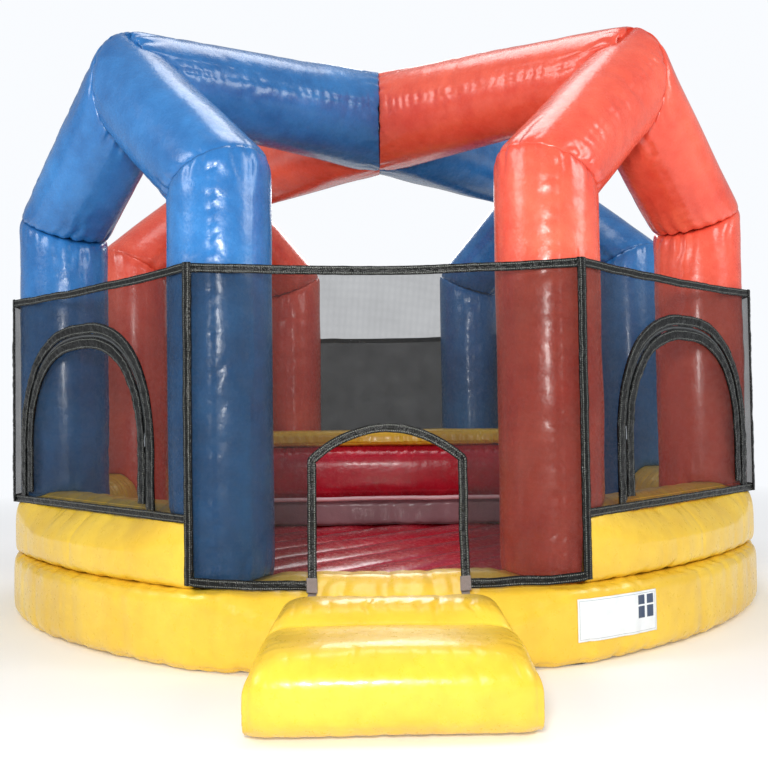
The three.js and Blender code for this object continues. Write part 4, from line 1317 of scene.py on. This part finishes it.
def entrance_ties():
    """A grey strap and tab at each foot of the entrance arch."""
    for side, label in ((-1, "left"), (1, "right")):
        x = side * (ENTRANCE_HALF - BAND / 2)
        angle = math.atan2(x, 2.60)
        heights = np.linspace(0.452, 0.366, 16)
        low = ring_skin_point(heights, np.full(16, angle), np.full(16, 0.005))
        low[:, 0] = x + side * 0.012 * np.linspace(0, 1, 16) ** 2
        high = np.array([(x, -2.652, 0.500), (x, -2.650, 0.485), (x, -2.648, 0.470)])
        path = np.concatenate([high, low + np.array([0, -0.002, 0])])
        skin = Skin()
        strap(skin, path, (1, 0, 0), 0.046, 0.003, 380.0 + side)
        tab = np.array([(x, -2.656, 0.512), (x, -2.657, 0.49), (x, -2.660, 0.462), (x, -2.668, 0.436)])
        strap(skin, tab, (1, 0.0, 0.06 * side), 0.058, 0.0035, 384.0 + side)
        skin.piece(f"entrance_tie_{label}_strap", tie_webbing, "structure", "grey_webbing",
                   (f"entrance_tie_{label}",))


def safety_label():
    """The blank label on the lower ring, curved with it."""
    width, low, high = 0.560, 0.140, 0.370
    centre = math.radians(26.8)
    a, z = np.meshgrid(np.linspace(-1, 1, 81), np.linspace(low, high, 45))
    angle = centre + a * width / 2 / 2.76
    lift = 0.0045 + 0.0008 * noise(a * 8, z * 20, 391.0)
    front = ring_skin_point(z, angle, lift)
    back = ring_skin_point(z, angle, lift - 0.0012)
    coords = np.stack([a * width / 2, z - (low + high) / 2], axis=-1)
    skin = Skin()
    slab(skin, front, back, coords)
    piece = skin.piece("safety_label_film", label_material(width, high - low), "structure", "pale_label",
                       ("safety_label",))


def deflation_flap():
    """A hemmed flap over the deflation port, hung by its top edge."""
    x, z = np.meshgrid(np.linspace(-0.18, 0.18, 49), np.linspace(0.152, 0.372, 31))
    edge = np.minimum(0.18 - np.abs(x), np.minimum(z - 0.152, 0.372 - z))
    hem = 0.0012 * smooth_step(0.022 - edge, 0, 0.004)
    y = 2.7845 + hem + 0.0008 * noise(x / 0.06, z / 0.05, 395.0)
    front = np.stack([x, y, z], axis=-1)
    back = front.copy()
    back[..., 1] = 2.7818
    skin = Skin()
    slab(skin, front, back, np.stack([x, z], axis=-1))
    piece = skin.piece("deflation_flap_cloth", yellow_vinyl, "deflation_flap", "yellow_vinyl",
                       ("deflation_flap",))


def pipe(name, path, radius, material, body, slot, replaces=(), sides=16, loop=False):
    """A round bar along a line of points."""
    path = np.array(path, float)
    ahead, behind = np.roll(path, -1, axis=0), np.roll(path, 1, axis=0)
    if not loop:
        ahead[-1], behind[0] = path[-1], path[0]
    along = units(ahead - behind)
    flat = np.linalg.svd(path - path.mean(axis=0))[2][-1]
    side = np.cross(along, flat)
    u = np.linspace(0, 2 * PI, sides, endpoint=False)
    points = path[:, None, :] + radius * (np.cos(u)[None, :, None] * side[:, None, :]
                                          + np.sin(u)[None, :, None] * flat[None, None, :])
    skin = Skin()
    index = skin.grid(points, wrap=True)
    if loop:
        skin.join_ends(index)
    else:
        skin.cap_ends(index, path[0], path[-1])
    return skin.piece(name, material, body, slot, replaces)


def anchors():
    """A sewn webbing tab with a steel ring in it at each back corner."""
    upward = np.array([0, 0, 1.0])
    for side, label in ((-1, "left"), (1, "right")):
        angle = side * 3.5 * EIGHTH
        radius, height = 2.822, 0.095
        heights = np.linspace(0.240, 0.130, 20)
        ring = ring_skin_point(heights, np.full(20, angle), np.full(20, 0.007))
        outward = np.array([math.sin(angle), -math.cos(angle), 0.0])
        centre = outward * radius + np.array([0, 0, height])
        turns = np.linspace(2.5, 2.5 - 1.5 * PI, 30)
        loop = centre + 0.0105 * (np.cos(turns)[:, None] * outward + np.sin(turns)[:, None] * upward)
        across = (math.cos(angle), math.sin(angle), 0.0)
        skin = Skin()
        strap(skin, np.concatenate([ring, loop]), across, 0.042, 0.0035, 400.0 + side)
        second = ring_skin_point(np.linspace(0.228, 0.150, 12), np.full(12, angle), np.full(12, 0.0115))
        strap(skin, second, across, 0.040, 0.003, 403.0 + side)
        skin.piece(f"anchor_tab_{label}_strap", anchor_webbing, "structure", "grey_webbing",
                   (f"anchor_tab_{label}",))
        bend = np.linspace(PI, 2 * PI, 40)
        arc = centre + 0.034 * (np.cos(bend)[:, None] * np.array(across) + np.sin(bend)[:, None] * upward)
        bar = centre + np.linspace(0.0305, -0.0305, 14)[:, None] * np.array(across)
        pipe(f"anchor_ring_{label}_steel", np.concatenate([arc, bar]), 0.0042, steel, f"anchor_ring_{label}",
             "zinc_steel", (f"anchor_ring_{label}",), loop=True)


# ---------------------------------------------------------------- entrance step
STEP_HALF = 0.630
STEP_BACK = 2.783
# Each pillow: the place of its middle, its half depth, its height and the power of its outline.
STEP_LOBES = [(-3.395, 0.345, 0.372, 0.62), (-2.925, 0.250, 0.450, 0.75)]


def step_outline(count):
    """Side outline of the step: a long front pillow and a higher one against the base."""
    middle = np.array([-3.14, 0.17])
    angle = np.linspace(0, 2 * PI, 2000, endpoint=False)
    reach = np.zeros_like(angle)
    test = np.linspace(0.05, 0.75, 900)
    for y0, half, top, power in STEP_LOBES:
        y = middle[0] + test[None, :] * np.cos(angle)[:, None]
        z = middle[1] + test[None, :] * np.sin(angle)[:, None]
        across, up = np.abs((y - y0) / half), np.abs((z - top / 2) / (top / 2))
        inside = (across ** (2 / power) + up ** (2 / power)) < 1
        reach = np.maximum(reach, np.where(inside, test[None, :], 0).max(axis=1))
    outline = middle + reach[:, None] * np.stack([np.cos(angle), np.sin(angle)], axis=1)
    outline[:, 0] = np.minimum(outline[:, 0], -STEP_BACK)
    return resampled(outline, np.linalg.norm(np.diff(outline, axis=0), axis=1).sum() / count, loop=True)


def entrance_step():
    """Two joined pillows in front of the entrance, creased where they meet and along their ends."""
    outline = step_outline(170)
    count = len(outline)
    middle = outline.mean(axis=0)
    step = np.roll(outline, -1, axis=0) - np.roll(outline, 1, axis=0)
    normal = np.stack([step[:, 1], -step[:, 0]], axis=1) / np.linalg.norm(step, axis=1)[:, None]
    run = run_along(outline)
    around = np.arange(count, dtype=float)

    def place(u, rho, t):
        i = np.round(u).astype(int) % count
        base = outline[i]
        side = np.clip(np.abs(2 * t - 1), 0, 1)
        close = 0.78 + 0.22 * (1 - side ** 11) ** 0.45
        y, z = base[..., 0], base[..., 1]
        flare = STEP_HALF + 0.006 - 0.026 * smooth_step(z, 0.24, 0.42) - 0.040 * smooth_step(y, -3.18, -3.02)
        puff = 0.024 * np.sign(2 * t - 1) * (1 - rho ** 2) * (side > 0.999)
        x = (2 * t - 1) * (flare * rho + (STEP_HALF - 0.03) * (1 - rho)) + puff
        edge_gap = STEP_HALF * (1 - side)
        upward, forward = normal[i, 1], -normal[i, 0]
        arc = run[i]
        dip = groove(edge_gap - 0.012, 0.005, 0.010)
        dip = dip + creases(arc, edge_gap, 0.07, 0.012, 0.06, 421.0)
        crease_y = y + 3.065
        dip = dip + creases(x + 3, crease_y, 0.085, 0.016, 0.07, 423.0) * np.clip(upward, 0, 1)
        front_low = np.clip(forward, 0, 1)
        dip = dip + creases(x + 6, z - 0.015, 0.11, 0.014, 0.05, 425.0) * front_low
        dip = dip + creases(x + 9, y + 3.70, 0.09, 0.008, 0.06, 427.0) * np.clip(upward, 0, 1)
        dip = dip - 0.006 * noise(x / 0.28, arc / 0.22, 429.0)
        dip = dip - 0.010 * (1 - side ** 2) * np.clip(upward + forward, 0, 1)
        dip = dip * np.clip(z / 0.02, 0, 1)
        y = middle[0] + (y - normal[i, 0] * dip - middle[0]) * (0.45 + 0.55 * close)
        z = (z - normal[i, 1] * dip) * close
        lifted_hem = np.exp(-(((np.abs(x) - 0.50) / 0.022) ** 2)) * np.clip(1 - z / 0.05, 0, 1)
        z = z + 0.012 * lifted_hem * front_low
        y = middle[0] + (y - middle[0]) * rho
        z = middle[1] + (z - middle[1]) * rho
        z = np.clip(z, 0.0, None)
        return np.stack([x, y, z], axis=-1), np.stack([x, arc], axis=-1)

    along = spaced(191, 0.75)
    piece = loft("entrance_step_skin", around, along, place, yellow_vinyl, "yellow_vinyl", "entrance_step",
                 fill=0.9)

    def freedom(x, y, z):
        clear_of_ring = smooth_step(-y, 2.790, 2.850)
        inside_ends = 1 - smooth_step(np.abs(x), STEP_HALF - 0.02, STEP_HALF)
        return clear_of_ring * smooth_step(z, 0.0, 0.04) * inside_ends * (1 - smooth_step(-y, 3.70, 3.745))

    inflate(piece, freedom)


# ---------------------------------------------------------------- sleeve and blower
BLOWER_X, SLEEVE_Z = 0.650, 0.195
STRAP_Y, DUCT_END = 3.150, 3.108


def inflation_sleeve():
    """Vinyl tube from the base to the blower's duct, gathered under its strap."""
    skin = Skin()
    u = np.linspace(0, 2 * PI, 120, endpoint=False)
    rows = []
    x = BLOWER_X + 0.15 * np.cos(u)
    heights = np.clip(SLEEVE_Z + 0.15 * np.sin(u), 0.01, 0.435)
    first = ring_skin_point(heights, PI - np.round(np.arctan2(x, 2.72), 3), 0.003)
    first = np.hypot(first[:, 0], first[:, 1])
    first = np.sqrt(first * first - x * x)
    for share in np.linspace(0, 1, 90):
        y = first + (3.196 - first) * share
        gather = np.exp(-((y - STRAP_Y) / 0.030) ** 2)
        near = np.exp(-((y - STRAP_Y) / 0.10) ** 2)
        radius = 0.155 - 0.012 * gather - 0.006 * near
        pleat = 0.006 * near * np.cos(u * 22 + 1.5 * np.sin(u * 3)) * (1 - 0.6 * gather)
        slack = 0.005 * noise(u * 1.4, y / 0.12, 441.0, 8.796)
        rows.append(sleeve_row(u, radius + pleat + slack, y))
    rows.append(sleeve_row(u, np.full_like(u, 0.140), 3.200))
    square = 0.102 / np.maximum(np.abs(np.cos(u)), np.abs(np.sin(u))) ** 0.9
    for y in (3.198, 3.160, DUCT_END):
        rows.append(sleeve_row(u, square, y))
    points = np.stack(rows)
    run = np.arange(len(rows))[:, None] * 0.006 + 0 * u[None, :]
    index = skin.grid(points, np.stack([run, u[None, :] * 0.155 + 0 * run], axis=-1), wrap=True)
    skin.cap_ends(index, (BLOWER_X, float(first.mean()) + 0.01, SLEEVE_Z), (BLOWER_X, DUCT_END, SLEEVE_Z))
    piece = skin.piece("inflation_sleeve_skin", yellow_vinyl, "structure", "yellow_vinyl",
                       ("inflation_sleeve",))
    band = Skin()
    rows = []
    for offset, radius in ((-0.02, 0.156), (-0.019, 0.159), (0.0, 0.1595), (0.019, 0.159), (0.02, 0.156)):
        rows.append(sleeve_row(u, np.full_like(u, radius), STRAP_Y + offset))
    for offset in (0.018, -0.018):
        rows.append(sleeve_row(u, np.full_like(u, 0.1555), STRAP_Y + offset))
    points = np.stack(rows, axis=1)
    across = np.array([-2, -1.9, 0, 1.9, 2, 1.8, -1.8])[None, :] * 0.01
    coords = np.stack(np.broadcast_arrays(u[:, None] * 0.156, across), axis=-1)
    index = band.grid(points, coords, wrap=True)
    band.join_ends(index)
    band.piece("sleeve_strap_band", tie_webbing, "structure", "grey_webbing", ("sleeve_strap",))


def sleeve_row(u, radius, y):
    """One ring of points round the sleeve."""
    return np.stack([BLOWER_X + radius * np.cos(u), y + 0 * u, SLEEVE_Z + radius * np.sin(u)], axis=-1)


def dress_cad_node(name, material, bevel):
    """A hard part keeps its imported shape, with softened edges and its own material."""
    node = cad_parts[name]
    node.data.materials.clear()
    node.data.materials.append(material)
    softened = node.modifiers.new("softened", "BEVEL")
    softened.width = bevel
    softened.segments = 2
    softened.limit_method = "ANGLE"
    softened.angle_limit = math.radians(40)
    softened.harden_normals = False


# Node, material and bevel width.
HARD_PARTS = [
    ("blower_housing", body_plastic, 0.004),
    ("blower_motor", dark_steel, 0.003),
    ("blower_impeller", dark_steel, 0.0008),
    ("blower_grille", dark_steel, 0.0008),
    ("zip_slider_left", steel, 0.0012),
    ("zip_slider_right", steel, 0.0012),
]


# ---------------------------------------------------------------- everything in order
lower_ring()
upper_ring()
ground_sheet()
mattress()
for label, values in BOLSTERS.items():
    bolster(label, **values)
piping()
for row in FRAMES:
    a_frame(*row)
net_binding()
nets()
doors()
entrance_ties()
safety_label()
deflation_flap()
anchors()
entrance_step()
inflation_sleeve()
for row in HARD_PARTS:
    dress_cad_node(*row)
